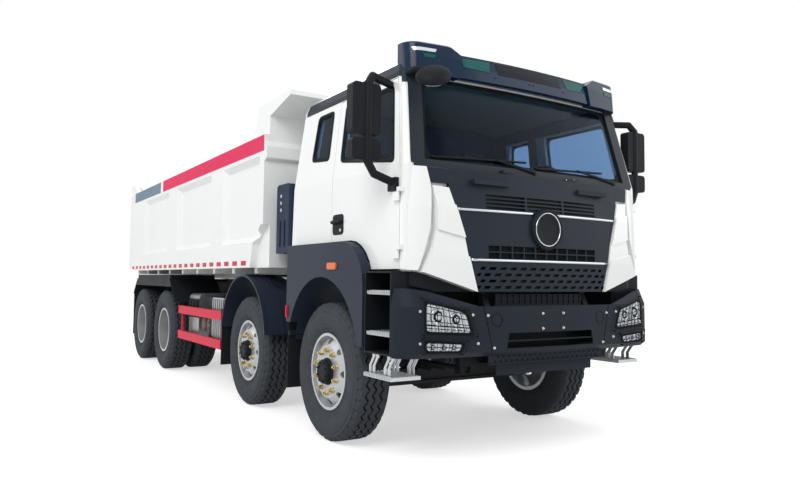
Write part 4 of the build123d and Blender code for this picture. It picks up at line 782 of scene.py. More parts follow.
@dataclass
class LidTrim:
    """Chrome strips across the front lid, its plain round boss, the wires in its pockets, and dark floors and plates
    that are painted shade.
    """

    inset: float = 0.008
    strip_half: float = 0.011
    strips: tuple[Trio, ...] = ((1.757, 0.120, 0.785), (1.757, -0.785, -0.120), (1.410, -0.684, 0.684))
    boss_z: float = 1.647
    boss_profile: Outline = ((0.154, -0.004), (0.154, 0.008), (0.148, 0.018), (0.138, 0.022), (0.128, 0.015),
                             (0.060, 0.013), (0.004, 0.012))
    ring_radii: Pair = (0.116, 0.127)
    pocket_depth: float = 0.016
    floor_thick: float = 0.002
    wire_stand: float = 0.005
    slot_proud: float = 0.0008
    slot_thick: float = 0.003
    # How proud a strip stands along its middle, along its edges and at its back.
    strip_lifts: Trio = (0.012, 0.003, -0.004)
    louvres: PocketRows = PocketRows((1.773, 1.801, 1.829, 1.857), 0.017, 0.372, 0.354, 0.760)
    windows: PocketRows = PocketRows((1.424, 1.473), 0.040, 0.108, 0.098, 0.640, start=0.054)
    slots: PocketRows = PocketRows((1.211, 1.255, 1.299, 1.343), 0.020, 0.092, 0.056, 0.580, stagger=0.046, lean=0.014)
    edge_gap: float = 0.0005
    boss_clear: float = 0.150
    mesh_rows: int = 4
    mesh_steps: int = 16
    mesh_swing: float = 0.0042
    mesh_radius: float = 0.0011
    slot_ends: tuple[Outline, ...] = (((-0.622, 0.030), (-0.550, 0.048), (0.550, 0.048), (0.622, 0.030)),
                                      ((-0.588, 0.036), (-0.506, 0.056), (0.588, 0.036)))

    def openings(self) -> list[tuple[Array, Array]]:
        """Outlines of the lid's pockets and the middle of each, as (y, z) points."""
        made = []
        for rows in (self.louvres, self.windows, self.slots):
            half, lean = rows.width / 2 - self.edge_gap, rows.lean
            for index, z in enumerate(rows.feet):
                start = rows.start + rows.stagger * (index % 2)
                count = int((rows.limit - start) / rows.pitch)
                foot, top = z + self.edge_gap, z + rows.height - self.edge_gap
                for y in start + rows.pitch * np.arange(-count, count + 1):
                    if abs(y) + rows.width / 2 < rows.limit:
                        outline = np.array([(y - half, foot), (y + half, foot), (y + half + lean, top),
                                            (y - half + lean, top)])
                        made.append((outline, (outline[0] + outline[2]) / 2))
        return made

    def inserts(self) -> None:
        """Line every pocket with a dark floor, which is painted shade, and stretch zig-zag wires across the windows."""
        shade_floors, mesh = Surface(), Surface()
        steps = np.arange(self.mesh_steps + 1)
        for outline, centre in self.openings():
            if np.hypot(*(centre - [0, self.boss_z])) < self.boss_clear:
                continue
            foot = SKIN_FACE.at(centre) * FORWARD - (self.inset + self.pocket_depth + self.floor_thick / 2) * FORWARD
            shade_floors.add(*prisms(outline, foot, LEFTWARD, UPWARD, self.floor_thick))
            width, height = outline[2] - outline[0]
            if height > self.slots.height:
                for row in range(self.mesh_rows):
                    y = outline[0, 0] + width * steps / self.mesh_steps
                    z = outline[0, 1] + height * (row + 0.5) / self.mesh_rows
                    z = z + self.mesh_swing * np.where((steps + row) % 2, 1, -1)
                    mesh.add(*tube(points_at(foot[0] + self.wire_stand, y, z), self.mesh_radius, 4))
        # The dark floors are painted shade at the bottom of the pockets.
        shade_floors.piece("lid_pocket_shade", Finishes.SEAL, "grille_lid", "black_plastic")
        mesh.piece("lid_mesh", Finishes.BLACK_PLASTIC, "grille_lid", "black_plastic")

    def outer_slot_shade(self) -> None:
        """Carry the slot rows out to the lid's edges with shallow dark plates of painted shade, which stand for slots
        that are not cut, narrower at the ends.
        """
        plates = Surface()
        lean = self.slots.lean
        for index, z in enumerate(self.slots.feet):
            for y, width in self.slot_ends[index % 2]:
                left, right, top = y - width / 2, y + width / 2, z + self.slots.height
                corners = ((left, z), (right, z), (right + lean, top), (left + lean, top))
                # Painted shade: a flat dark plate where a recessed slot would be.
                plates.add(*SKIN_FACE.patch(corners, self.slot_proud - self.inset, self.slot_thick, 3, 2))
        plates.piece("lid_painted_slot_shade", Finishes.SLOT_SHADE, "grille_lid", "black_plastic")

    def strip(self, z: float, start: float, end: float) -> Mesh:
        """Rounded strip that follows the lid: proud in the middle, down at its two long edges."""
        y, rise = cells(np.linspace(start, end, 28), np.array([-1, -0.55, 0.55, 1]))
        spots = points_at(y, z + self.strip_half * rise)
        middle_lift, edge_lift, back_lift = self.strip_lifts
        lift = np.where(np.abs(rise) < 1, middle_lift, edge_lift) - self.inset
        return plate(SKIN_FACE.at(spots, lift), SKIN_FACE.at(spots, back_lift - self.inset))

    def build(self) -> None:
        """Make the strips, the boss and what fills the pockets."""
        strips = Surface()
        for z, start, end in self.strips:
            strips.add(*self.strip(z, start, end))
        centre = SKIN_FACE.at(np.array([0.0, self.boss_z]))
        low, high = self.ring_radii
        ring = [(low, 0.010), (low + 0.003, 0.021), (high - 0.003, 0.021), (high, 0.010)]
        turns = polygon(1.0, 48) @ np.stack([LEFTWARD, UPWARD])
        strips.add(*band(*[centre + radius * turns + height * FORWARD for radius, height in ring]))
        strips.piece("lid_chrome", Finishes.CHROME, "grille_lid", "hoist_chrome", smooth=True)
        boss = Surface().add(*turned(self.boss_profile, centre, FORWARD, 48))
        boss.piece("lid_boss", Finishes.BLACK_PLASTIC, "grille_lid", "black_plastic", smooth=True)
        self.inserts()
        self.outer_slot_shade()


@dataclass
class WindscreenTrim:
    """Black glass border, wipers, pillar covers and the dark cowl under the windscreen."""

    glass_inset: float = 0.014
    outline: Outline = ((-1.010, 2.085), (1.010, 2.085), (0.945, 2.715), (-0.945, 2.715))
    border: float = 0.030
    corner_radii: Pair = (0.020, 0.110)
    pillar_width: float = 0.108
    pillar_heights: Pair = (2.060, 2.725)
    wiper_lift: float = 0.014
    arm_radius: float = 0.017
    arm_taper: float = 0.010
    blade_radius: float = 0.009
    edge_radius: float = 0.004
    pivot_cap: Outline = ((0.024, -0.014), (0.024, 0.008), (0.016, 0.016))
    cowl: Trio = (2.041, 2.092, 1.095)
    hinge_cover: Outline = ((1.1295, 1.183), (0.3453, 0.3765), (2.041, 2.063))
    wipers: tuple[Outline, ...] = (((-0.050, 2.077), (-0.400, 2.140), (-0.945, 2.116), (-0.110, 2.150)),
                                   ((0.860, 2.077), (0.430, 2.140), (-0.020, 2.112), (0.740, 2.150)))

    def border_ring(self) -> Mesh:
        """Printed border of the glass, wide at its corners."""
        outer, inner = (loop(grown(self.outline, gap), radius, run=30)
                        for gap, radius in zip((-0.001, -self.border), self.corner_radii))
        return CAB_FACE.ring(outer, inner, 0.002 - self.glass_inset, 0.004)

    def wiper(self, surface: Surface, pivot: Array, elbow: Array, tip: Array, heel: Array) -> None:
        """Add an arm that thins towards its elbow, a blade with a rubber edge, and the pivot's cap."""
        shares = np.linspace(0, 1, 12)[:, None]
        lift = self.wiper_lift - self.glass_inset
        arm = (1 - shares) * pivot + shares * elbow
        surface.add(*tube(CAB_FACE.at(arm, lift + 0.010), self.arm_radius - self.arm_taper * shares[:, 0]))
        blade = (1 - shares) * tip + shares * heel
        surface.add(*tube(CAB_FACE.at(blade, lift), self.blade_radius, 6))
        surface.add(*tube(CAB_FACE.at(blade, lift - 0.008), self.edge_radius, 6))
        surface.add(*turned(self.pivot_cap, CAB_FACE.at(pivot), FORWARD, 16))

    def pillar(self, sign: int) -> Mesh:
        """Cover strip on a pillar, from the cowl to the visor, between the glass and the door."""
        z = np.linspace(*self.pillar_heights, 16)
        halves, heights = zip(*self.outline[1:3])
        edge = np.interp(z, heights, halves) - 0.004
        share, index = cells(np.linspace(0, 1, 6), np.arange(len(z)))
        y = sign * (edge[index] + share * self.pillar_width)
        spots = points_at(y, z[index])
        return plate(CAB_FACE.at(spots, 0.005), CAB_FACE.at(spots, -0.010))

    def build(self) -> None:
        """Make every piece round the windscreen."""
        Surface().add(*self.border_ring()).piece("windscreen_border", Finishes.SEAL, "cab", "black_plastic")
        wipers = Surface()
        for points in self.wipers:
            self.wiper(wipers, *np.array(points))
        wipers.piece("wipers", Finishes.BLACK_WIRE, "cab", "black_plastic", smooth=True)
        low, high, half = self.cowl
        covers = Surface().add(*self.pillar(1)).add(*self.pillar(-1))
        covers.add(*CAB_FACE.patch(((-half, low), (half, low), (half, high), (-half, high)), 0.006, 0.012, 40, 3))
        for side in Side:
            covers.add(*box_between(*self.hinge_cover, side))
        covers.piece("pillar_covers", Finishes.PILLAR, "cab", "black_plastic")


@dataclass
class TiltArmCovers:
    """Dark sleeves on the two arms that the cab tilts about, where they show above the bumper."""

    arm: Outline = ((1.0905, 1.060), (1.1586, 1.060), (1.1500, 1.090), (1.1100, 1.170), (1.1100, 1.220),
                    (1.0622, 1.220))
    arm_y: Pair = (0.470, 0.520)
    wall: float = 0.0015

    def build(self) -> None:
        """Make both sleeves."""
        low, high = self.arm_y[0] - self.wall, self.arm_y[1] + self.wall
        covers = Surface()
        for start in (high, -low):
            covers.add(*prisms(grown(self.arm, self.wall), place([(0, start, 0)]), FORWARD, UPWARD, high - low))
        covers.piece("tilt_arm_covers", Finishes.BLACK_PLASTIC, "cab", "black_plastic")


@dataclass
class VisorTrim:
    """Lamps, screws and the bare middle panel of the roof visor."""

    lens: Outline = ((0.400, 2.802), (0.628, 2.812), (0.628, 2.884), (0.378, 2.894))
    panel: Outline = ((-0.325, 2.800), (0.325, 2.800), (0.325, 2.894), (-0.325, 2.894))
    pod_lens: Outline = ((0.875, 2.836), (0.955, 2.834), (0.965, 2.862), (0.865, 2.860))
    marker: Outline = ((0.868, 2.880), (1.025, 2.878), (1.035, 2.904), (0.856, 2.904))
    proud: float = 0.003
    marker_proud: float = 0.004
    depth: float = 0.012
    screw_radius: float = 0.006
    screw_places: Outline = ((0.350, 2.770), (0.350, 2.900), (0.660, 2.775), (0.020, 2.770))

    def build(self) -> None:
        """Make the lenses of both sides and the panel between them."""
        lenses, markers, screws = Surface(), Surface(), Surface()
        for side in Side:
            lenses.add(*VISOR_FACE.patch(side.flip(self.lens), self.proud, self.depth))
            lenses.add(*POD_FACE.patch(side.flip(self.pod_lens), self.proud, self.depth))
            markers.add(*POD_FACE.patch(side.flip(self.marker), self.marker_proud, self.depth, 16, 4))
            spots = VISOR_FACE.at(side.flip(self.screw_places))
            screws.add(*prisms(polygon(self.screw_radius, 8), spots, LEFTWARD, UPWARD, 0.004))
        lenses.piece("visor_lenses", Finishes.TEAL_LENS, "cab", "lamp_lens")
        markers.piece("visor_markers", Finishes.LENS, "cab", "lamp_lens")
        screws.piece("visor_screws", Finishes.BLACK_WIRE, "cab", "black_plastic")
        panel = Surface().add(*VISOR_FACE.patch(self.panel, self.proud, self.depth, 24, 3))
        panel.piece("visor_panel", Finishes.BLACK_GLOSS, "cab", "black_plastic")


@dataclass
class KerbMirror:
    """Round mirror that looks down past the cab's right front corner."""

    centre: Trio = (1.150, -0.975, 2.650)
    axis: Trio = (0.60, -0.35, 0.72)
    shell: Outline = ((0.112, -0.012), (0.130, -0.004), (0.132, 0.014), (0.118, 0.036), (0.088, 0.054), (0.045, 0.064),
                      (0.006, 0.066))
    arm: tuple[Trio, ...] = ((0.930, -1.040, 2.712), (1.000, -1.060, 2.725), (1.080, -1.030, 2.720),
                             (1.140, -0.985, 2.690))
    arm_radius: float = 0.022
    glass: Outline = ((0.110, -0.014), (0.108, -0.018), (0.060, -0.024), (0.004, -0.026))
    squeeze: float = 0.86

    def build(self) -> None:
        """Make the shell, its arm and its glass."""
        centre, axis = place(self.centre), np.array(self.axis)
        shell = Surface().add(*turned(self.shell, centre, axis, 36, self.squeeze))
        shell.add(*tube(bent(place(self.arm)), self.arm_radius, 12))
        shell.piece("kerb_mirror_shell", Finishes.BLACK_PLASTIC, "cab", "black_plastic", smooth=True)
        face = Surface().add(*turned(self.glass, centre, axis, 36, self.squeeze))
        face.piece("kerb_mirror_glass", Finishes.MIRROR, "cab", "clear_glass", smooth=True)


@dataclass
class CabSides:
    """Window seals, roof bands, door handles and mirror glass of both sides."""

    door_window: Outline = ((0.140, 2.195), (0.130, 2.640), (0.835, 2.640), (0.945, 2.085))
    quarter_window: Outline = ((-0.405, 2.270), (-0.370, 2.640), (-0.095, 2.640), (-0.090, 2.240))
    band_heights: tuple[float, ...] = (2.703, 2.740, 2.806)
    band_ends: Pair = (-0.640, 0.880)
    band_lifts: Pair = (0.004, -0.006)
    corner_heights: tuple[float, ...] = (2.655, 2.698, 2.705, 2.740, 2.806)
    corner_turns_deg: tuple[float, ...] = (60.0, 60.0, 90.0, 90.0, 90.0)
    corner_start: float = 1.030
    corner_lifts: Pair = (0.007, -0.006)
    handle: Pair = (0.140, 1.692)
    handle_plate: Trio = (0.180, 0.160, 0.030)
    # The grip's path: places from the handle's middle, and how proud each stands.
    grip: tuple[Trio, ...] = ((-0.075, 0.018, 0.0), (-0.068, 0.020, 0.022), (0.0, 0.022, 0.028), (0.068, 0.020, 0.022),
                              (0.075, 0.018, 0.0))
    grip_radius: float = 0.014
    lock_offset: Pair = (0.045, -0.045)
    lock_radius: float = 0.012
    mirror_glass: Outline = ((2.082, 2.198), (2.264, 2.576))
    mirror_spot: Pair = (0.858, 1.375)
    mirror_width: float = 0.184
    mirror_corner: float = 0.028

    def seal(self, window: Points, side: Side) -> Mesh:
        """Rubber seal round a window, from just proud of the panel down to the glass."""
        outer, lip = loop(grown(window, 0.013), 0.050), loop(grown(window, -0.004), 0.050)
        inner = loop(grown(window, -0.020), 0.055)
        return band(cab_side(outer, side, 0.003), cab_side(lip, side, 0.005), cab_side(inner, side, -0.009),
                    cab_side(inner, side, -0.014), cab_side(outer, side, -0.014))

    def roof_band(self, side: Side) -> Mesh:
        """Dark band under the gutter, bent where the wall meets the roof."""
        x, z = cells(np.linspace(*self.band_ends, 8), np.array(self.band_heights))
        return side_sheet(points_at(x, z), side, *self.band_lifts)

    def band_corner(self, side: Side) -> Mesh:
        """Front end of the roof band, wrapped round the cab's corner as far as the windscreen pillar."""
        z = np.array(self.corner_heights)
        share, row = cells(np.linspace(0, 1, 8), np.arange(len(z)))
        turn = np.sin(share * np.radians(self.corner_turns_deg)[row])
        half = np.interp(z, CAB_FACE.heights, CAB_FACE.halves)[row] - self.corner_start
        sheets = []
        for lift in self.corner_lifts:
            y = side.value * (self.corner_start + (half + lift) * turn)
            sheets.append(CAB_FACE.at(points_at(y, z[row]), lift))
        return plate(*sheets)

    def door_handle(self, side: Side) -> tuple[Surface, Surface]:
        """Recess plate with its grip and lock.

        Args:
            side: Which door.

        Returns:
            The dark plate with its grip, and the bright lock.
        """
        spot, across = np.array(self.handle), -side.value * FORWARD
        foot = cab_side(spot, side, -0.002)
        plates = Surface().add(*prisms(rounded(*self.handle_plate), foot, across, UPWARD, 0.006))
        grip = np.array(self.grip)
        plates.add(*tube(cab_side(spot + grip[:, :2], side, grip[:, 2]), self.grip_radius, 10))
        lock = Surface().add(*prisms(polygon(self.lock_radius, 16), cab_side(spot + self.lock_offset, side), across,
                                     UPWARD, 0.008))
        return plates, lock

    def build(self) -> None:
        """Make both sides."""
        for side in Side:
            door = f"door_{side.word}"
            seal = Surface().add(*self.seal(self.door_window, side))
            seal.piece(f"door_seal_{side.word}", Finishes.SEAL, door, "black_plastic")
            seal = Surface().add(*self.seal(self.quarter_window, side))
            seal.piece(f"quarter_seal_{side.word}", Finishes.SEAL, "cab", "black_plastic")
            strip = Surface().add(*self.roof_band(side)).add(*self.band_corner(side))
            strip.piece(f"roof_band_{side.word}", Finishes.SLATE, "cab", "slate_panel")
            plates, lock = self.door_handle(side)
            plates.piece(f"door_handle_{side.word}", Finishes.BLACK_PLASTIC, door, "black_plastic")
            lock.piece(f"door_lock_{side.word}", Finishes.BRIGHT_ZINC, door, "cast_steel")
            glass = Surface()
            for low, high in self.mirror_glass:
                centre = place((*self.mirror_spot, (low + high) / 2), side)
                outline = rounded(self.mirror_width, high - low, self.mirror_corner)
                glass.add(*prisms(outline, centre, LEFTWARD, UPWARD, -0.004))
            glass.piece(f"mirror_glass_{side.word}", Finishes.MIRROR, door, "clear_glass")


@dataclass
class CabLining:
    """Dark trim on the cab's inner walls, so that the windows look into a lined cab."""

    back: Outline = ((1.400, -0.690), (2.050, -0.653), (2.740, -0.608), (2.780, -0.598))
    roof_z: float = 2.784
    roof: Trio = (-0.580, 0.840, 0.960)
    posts: Outline = ((-0.085, 0.020), (-0.640, -0.420))
    wall_heights: Pair = (1.400, 2.780)
    wall_gap: float = 0.062
    post_heights: Pair = (1.400, 2.775)
    header: Pair = (-0.620, 0.820)
    header_heights: tuple[float, ...] = (2.655, 2.740, 2.775)
    thick: float = 0.010
    wall_lifts: Pair = (-0.066, -0.057)
    card: Outline = ((0.060, 0.930), (1.420, 2.050))
    card_lifts: Pair = (-0.064, -0.056)
    roof_drop: float = 0.030
    roof_ripple: float = 0.012
    ripple_rate: float = 6.0

    def build(self) -> None:
        """Make the back wall's and posts' lining, the headliner and the door cards."""
        lining = Surface()
        height, share = cells(np.linspace(*self.wall_heights, 10), np.linspace(-1, 1, 12))
        x = np.interp(height, *np.array(self.back).T)
        half = np.interp(height, CAB_FACE.heights, CAB_FACE.halves) - self.wall_gap
        wall = place(points_at(x, share * half, height))
        lining.add(*plate(wall, wall - self.thick * FORWARD))
        for side in Side:
            sheets = [(ends, np.linspace(*self.post_heights, 8)) for ends in self.posts]
            for ends, heights in sheets + [(self.header, self.header_heights)]:
                spots = points_at(*cells(np.array(ends), np.array(heights)))
                lining.add(*side_sheet(spots, side, *self.wall_lifts))
            card = points_at(*cells(*(np.linspace(*ends, 6) for ends in self.card)))
            cards = Surface().add(*side_sheet(card, side, *self.card_lifts))
            cards.piece(f"door_card_{side.word}", Finishes.TRIM, f"door_{side.word}", "cab_trim")
        lining.piece("cab_lining", Finishes.TRIM, "cab", "cab_trim")
        rear, front, half = self.roof
        x, y = cells(np.linspace(rear, front, 10), np.linspace(-half, half, 14))
        ripple = self.roof_ripple * np.cos(x * self.ripple_rate) ** 2
        crown = self.roof_z - self.roof_drop * (y / half) ** 4 - ripple
        roof = place(points_at(x, y, crown))
        head = Surface().add(*plate(roof, roof + self.thick * UPWARD))
        head.piece("headliner", Finishes.HEADLINER, "cab", "cab_trim", smooth=True)


@dataclass
class CabFittings:
    """Dashboard, steering wheel and two padded seats, which stand for the plain interior solid."""

    dash: Outline = ((1.030, 1.400), (1.030, 1.960), (0.720, 1.990), (0.690, 1.860), (0.880, 1.720), (0.920, 1.400))
    dash_half: float = 1.083
    hood: Outline = ((0.700, 1.985), (0.700, 2.045), (0.880, 2.055), (0.960, 1.975))
    hood_start: float = 0.730
    hood_width: float = 0.500
    wheel_centre: Trio = (0.600, 0.480, 2.065)
    wheel_axis: Trio = (-0.743, 0.0, 0.669)
    wheel_radius: float = 0.215
    grip: float = 0.016
    spokes: tuple[int, ...] = (2, 22, 36)
    spoke_radius: float = 0.013
    boss: Outline = ((0.075, -0.020), (0.075, 0.010), (0.055, 0.022), (0.010, 0.026))
    column_foot: Trio = (0.800, 0.480, 1.850)
    column_radius: float = 0.035
    seat_y: float = 0.500

    def dashboard(self) -> bpy.types.Object:
        """Rounded section drawn across the cab, with an instrument hood in front of the driver."""
        section = loop(self.dash, 0.030, run=2)
        y = np.linspace(-self.dash_half, self.dash_half, 24)[:, None]
        dash = Surface().add(*capped(place(points_at(section[:, 0], y, section[:, 1]))))
        hood = loop(self.hood, 0.020, run=2)
        dash.add(*prisms(hood, place((0, self.hood_start, 0)), FORWARD, UPWARD, self.hood_width))
        return dash.piece("dashboard", Finishes.TRIM, "cab", "cab_trim")

    def steering_wheel(self) -> None:
        """Ring, three spokes, boss and column."""
        centre, axis = place(self.wheel_centre), np.array(self.wheel_axis)
        level = np.cross(axis, LEFTWARD)
        turns = polygon(1.0, 48) @ np.stack([LEFTWARD, level])
        rings = [centre + (self.wheel_radius + out) * turns + rise * axis for out, rise in polygon(self.grip, 10)]
        wheel = Surface().add(*band(*rings))
        for spot in centre + self.wheel_radius * turns[list(self.spokes)]:
            wheel.add(*tube([centre, (centre + spot) / 2 - 0.010 * axis, spot], self.spoke_radius))
        wheel.add(*turned(self.boss, centre, axis, 24))
        foot = place(self.column_foot)
        wheel.add(*tube([foot, (foot + centre) / 2, centre], self.column_radius, 12))
        wheel.piece("steering_wheel", Finishes.BLACK_PLASTIC, "cab", "cab_trim", smooth=True)

    def seats(self) -> None:
        """Pedestals, and a padded cushion, back and head rest for each seat."""
        upright = np.array([[0, 1, 0], [-0.140, 0, 0.990], [0.990, 0, 0.140]])
        level = np.array([[0, 1, 0], [1, 0, 0], [0, 0, 1]])
        for side in Side:
            y = self.seat_y
            foot = Surface().add(*blocks(place([(0.000, y, 1.500)], side), (0.200, 0.200, 0.105)))
            foot.add(*blocks(place([(0.000, y, 1.615)], side), (0.240, 0.235, 0.012)))
            foot.piece(f"seat_base_{side.word}", Finishes.BLACK_PLASTIC, "cab", "cab_trim")
            for word, centre, half, axes in (("cushion", (0.005, y, 1.700), (0.245, 0.250, 0.075), level),
                                             ("back", (-0.235, y, 2.065), (0.240, 0.320, 0.060), upright),
                                             ("head_rest", (-0.300, y, 2.430), (0.130, 0.080, 0.050), upright)):
                pad_piece = Surface().add(*pad(place(centre, side), half, axes))
                made = pad_piece.piece(f"seat_{word}_{side.word}", Finishes.SEAT_FABRIC, "cab", "cab_trim", True)

    def build(self) -> None:
        """Make the interior and let it stand for the plain one."""
        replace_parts(self.dashboard(), "cab_interior")
        self.steering_wheel()
        self.seats()


@dataclass
class FrontLamps:
    """Reflectors, lamp rows, bezels and wire guards of the head and fog lamps."""

    head: Outline = ((0.705, 0.905), (1.070, 0.922), (1.070, 1.130), (0.762, 1.055))
    fog: Outline = ((0.806, 0.788), (1.067, 0.797), (1.074, 0.866), (0.778, 0.847))
    bowls: tuple[Trio, ...] = ((0.972, 1.026, 0.062), (0.838, 1.006, 0.050))
    fog_bowls: tuple[Trio, ...] = ((1.015, 0.828, 0.026), (0.935, 0.823, 0.026), (0.860, 0.820, 0.024))
    bowl_profile: Outline = ((1.0, -0.004), (1.0, 0.004), (0.86, 0.007), (0.72, 0.002), (0.60, 0.001))
    well_profile: Outline = ((0.62, 0.000), (0.62, 0.003), (0.40, 0.004))
    bulb_profile: Outline = ((0.40, 0.000), (0.38, 0.006), (0.22, 0.011), (0.0, 0.013))
    bulb_tip: float = 0.002
    # Corners of the shelf and the rib as shares across and up the headlamp.
    shelf: Outline = ((0.04, 0.245), (0.97, 0.225), (0.97, 0.275), (0.04, 0.295))
    rib: Outline = ((0.520, 0.30), (0.560, 0.30), (0.575, 0.90), (0.535, 0.90))
    wire: float = 0.0028
    guard_lift: float = 0.020

    def guard(self, corners: Array, columns: int, rows: int) -> Surface:
        """Wire grid over a lamp: level and upright bars, with feet at the corners.

        Args:
            corners: Lamp outline as (y, z) points.
            columns: Number of upright bars.
            rows: Number of level bars.

        Returns:
            The grid's mesh.
        """
        surface, line = Surface(), np.linspace(0, 1, 10)
        edge = grown(corners, 0.016)
        bars = [between(edge, line, np.full(10, v)) for v in np.linspace(0, 1, rows)]
        bars += [between(edge, np.full(10, u), line) for u in np.linspace(0, 1, columns)]
        for bar in bars:
            surface.add(*tube(BUMPER_FACE.at(bar, self.guard_lift), self.wire, 5))
        for corner in edge:
            foot = np.vstack([BUMPER_FACE.at(corner, lift) for lift in (-0.002, 0.010, self.guard_lift)])
            surface.add(*tube(foot, 0.005, 6))
        return surface

    def build(self) -> None:
        """Make the lamps of both sides."""
        for side in Side:
            head, fog = side.flip(self.head), side.flip(self.fog)
            bright, dark, bulbs = Surface(), Surface(), Surface()
            for y, z, radius in self.bowls + self.fog_bowls:
                centre = BUMPER_FACE.at(side.flip((y, z)), -0.003)
                for part, profile, steps in ((bright, self.bowl_profile, 24), (dark, self.well_profile, 24),
                                             (bulbs, self.bulb_profile, 20)):
                    rows = [(radius * share if share else self.bulb_tip, height) for share, height in profile]
                    part.add(*turned(rows, centre, FORWARD, steps))
            row = between(head, np.linspace(0.09, 0.93, 8), np.full(8, 0.13))
            bulbs.add(*blocks(BUMPER_FACE.at(row, -0.002), (0.005, 0.013, 0.011)))
            dark.add(*BUMPER_FACE.patch(between(head, *np.transpose(self.shelf)), 0.000, 0.006, 8, 2))
            bright.add(*BUMPER_FACE.patch(between(head, *np.transpose(self.rib)), 0.003, 0.008, 3, 6))
            for corners, radius in ((head, 0.035), (fog, 0.020)):
                dark.add(*BUMPER_FACE.ring(loop(grown(corners, 0.007), radius), loop(grown(corners, -0.009), radius),
                                           0.003, 0.010))
            word = side.word
            bright.piece(f"lamp_reflectors_{word}", Finishes.CHROME, "chassis", "lamp_lens", smooth=True)
            dark.piece(f"lamp_bezels_{word}", Finishes.SEAL, "chassis", "black_plastic")
            bulbs.piece(f"lamp_bulbs_{word}", Finishes.LENS, "chassis", "lamp_lens", smooth=True)
            self.guard(head, 9, 6).piece(f"headlamp_guard_{word}", Finishes.BLACK_WIRE, "chassis", "black_plastic")
            self.guard(fog, 8, 3).piece(f"fog_guard_{word}", Finishes.BLACK_WIRE, "chassis", "black_plastic")


@dataclass
class BumperTrim:
    """Bolts, seams, tow covers and the pierced step of the front bumper, whose holes are dark discs of painted shade,
    and the cooler behind its opening.
    """

    bolts: Outline = ((1.106, 1.062), (0.712, 1.036), (0.590, 1.030), (1.106, 0.853), (0.672, 0.843), (0.540, 0.808),
                      (0.102, 1.037), (0.102, 0.930))
    bolt_radius: float = 0.0065
    seam: Outline = ((0.540, 0.757), (0.546, 0.757), (0.624, 1.090), (0.618, 1.090))
    tow_cover: Pair = (0.512, 0.998)
    tow_radii: Pair = (0.047, 0.042)
    hole_rows: tuple[float, ...] = (0.712, 0.742)
    hole_pitch: float = 0.050
    hole_limit: float = 0.52
    hole_radius: float = 0.0105
    step_face: float = 1.2432
    cooler: Outline = ((1.121, 1.135), (-0.720, 0.720), (0.672, 0.890))
    fin_x: float = 1.140
    # Lowest fin, upper limit and pitch.
    fin_heights: Trio = (0.800, 0.870, 0.018)
    fin_half: Trio = (0.008, 0.710, 0.003)

    def build(self) -> None:
        """Make the bumper's small parts."""
        bolts, seams = Surface(), Surface()
        circle = polygon(1.0, 32)
        for side in Side:
            spots = BUMPER_FACE.at(side.flip(self.bolts), -0.002)
            bolts.add(*prisms(polygon(self.bolt_radius * 1.5, 16), spots, LEFTWARD, UPWARD, 0.004))
            bolts.add(*prisms(polygon(self.bolt_radius, 6), spots, LEFTWARD, UPWARD, 0.013))
            seams.add(*BUMPER_FACE.patch(side.flip(self.seam), 0.0015, 0.004, 3, 12))
            outer, inner = (side.flip(self.tow_cover) + radius * circle for radius in self.tow_radii)
            seams.add(*BUMPER_FACE.ring(outer, inner, 0.0015, 0.004))
        # The step's holes are not cut: each is a thin dark disc of painted shade.
        count = int(self.hole_limit / self.hole_pitch)
        for index, z in enumerate(self.hole_rows):
            y = (np.arange(-count, count + 1) + 0.5 * (index % 2)) * self.hole_pitch
            spots = place(points_at(self.step_face, y, z))
            seams.add(*prisms(polygon(self.hole_radius, 10), spots, LEFTWARD, UPWARD, 0.0015))
        cooler = Surface().add(*box_between(*self.cooler))
        fins = points_at(self.fin_x, 0.0, np.arange(*self.fin_heights))
        cooler.add(*blocks(place(fins), self.fin_half))
        cooler.piece("lower_cooler", Finishes.BLACK_PLASTIC, "chassis", "black_plastic")
        bolts.piece("bumper_bolts", Finishes.BRIGHT_ZINC, "chassis", "cast_steel")
        seams.piece("bumper_seams", Finishes.SEAL, "chassis", "black_plastic")


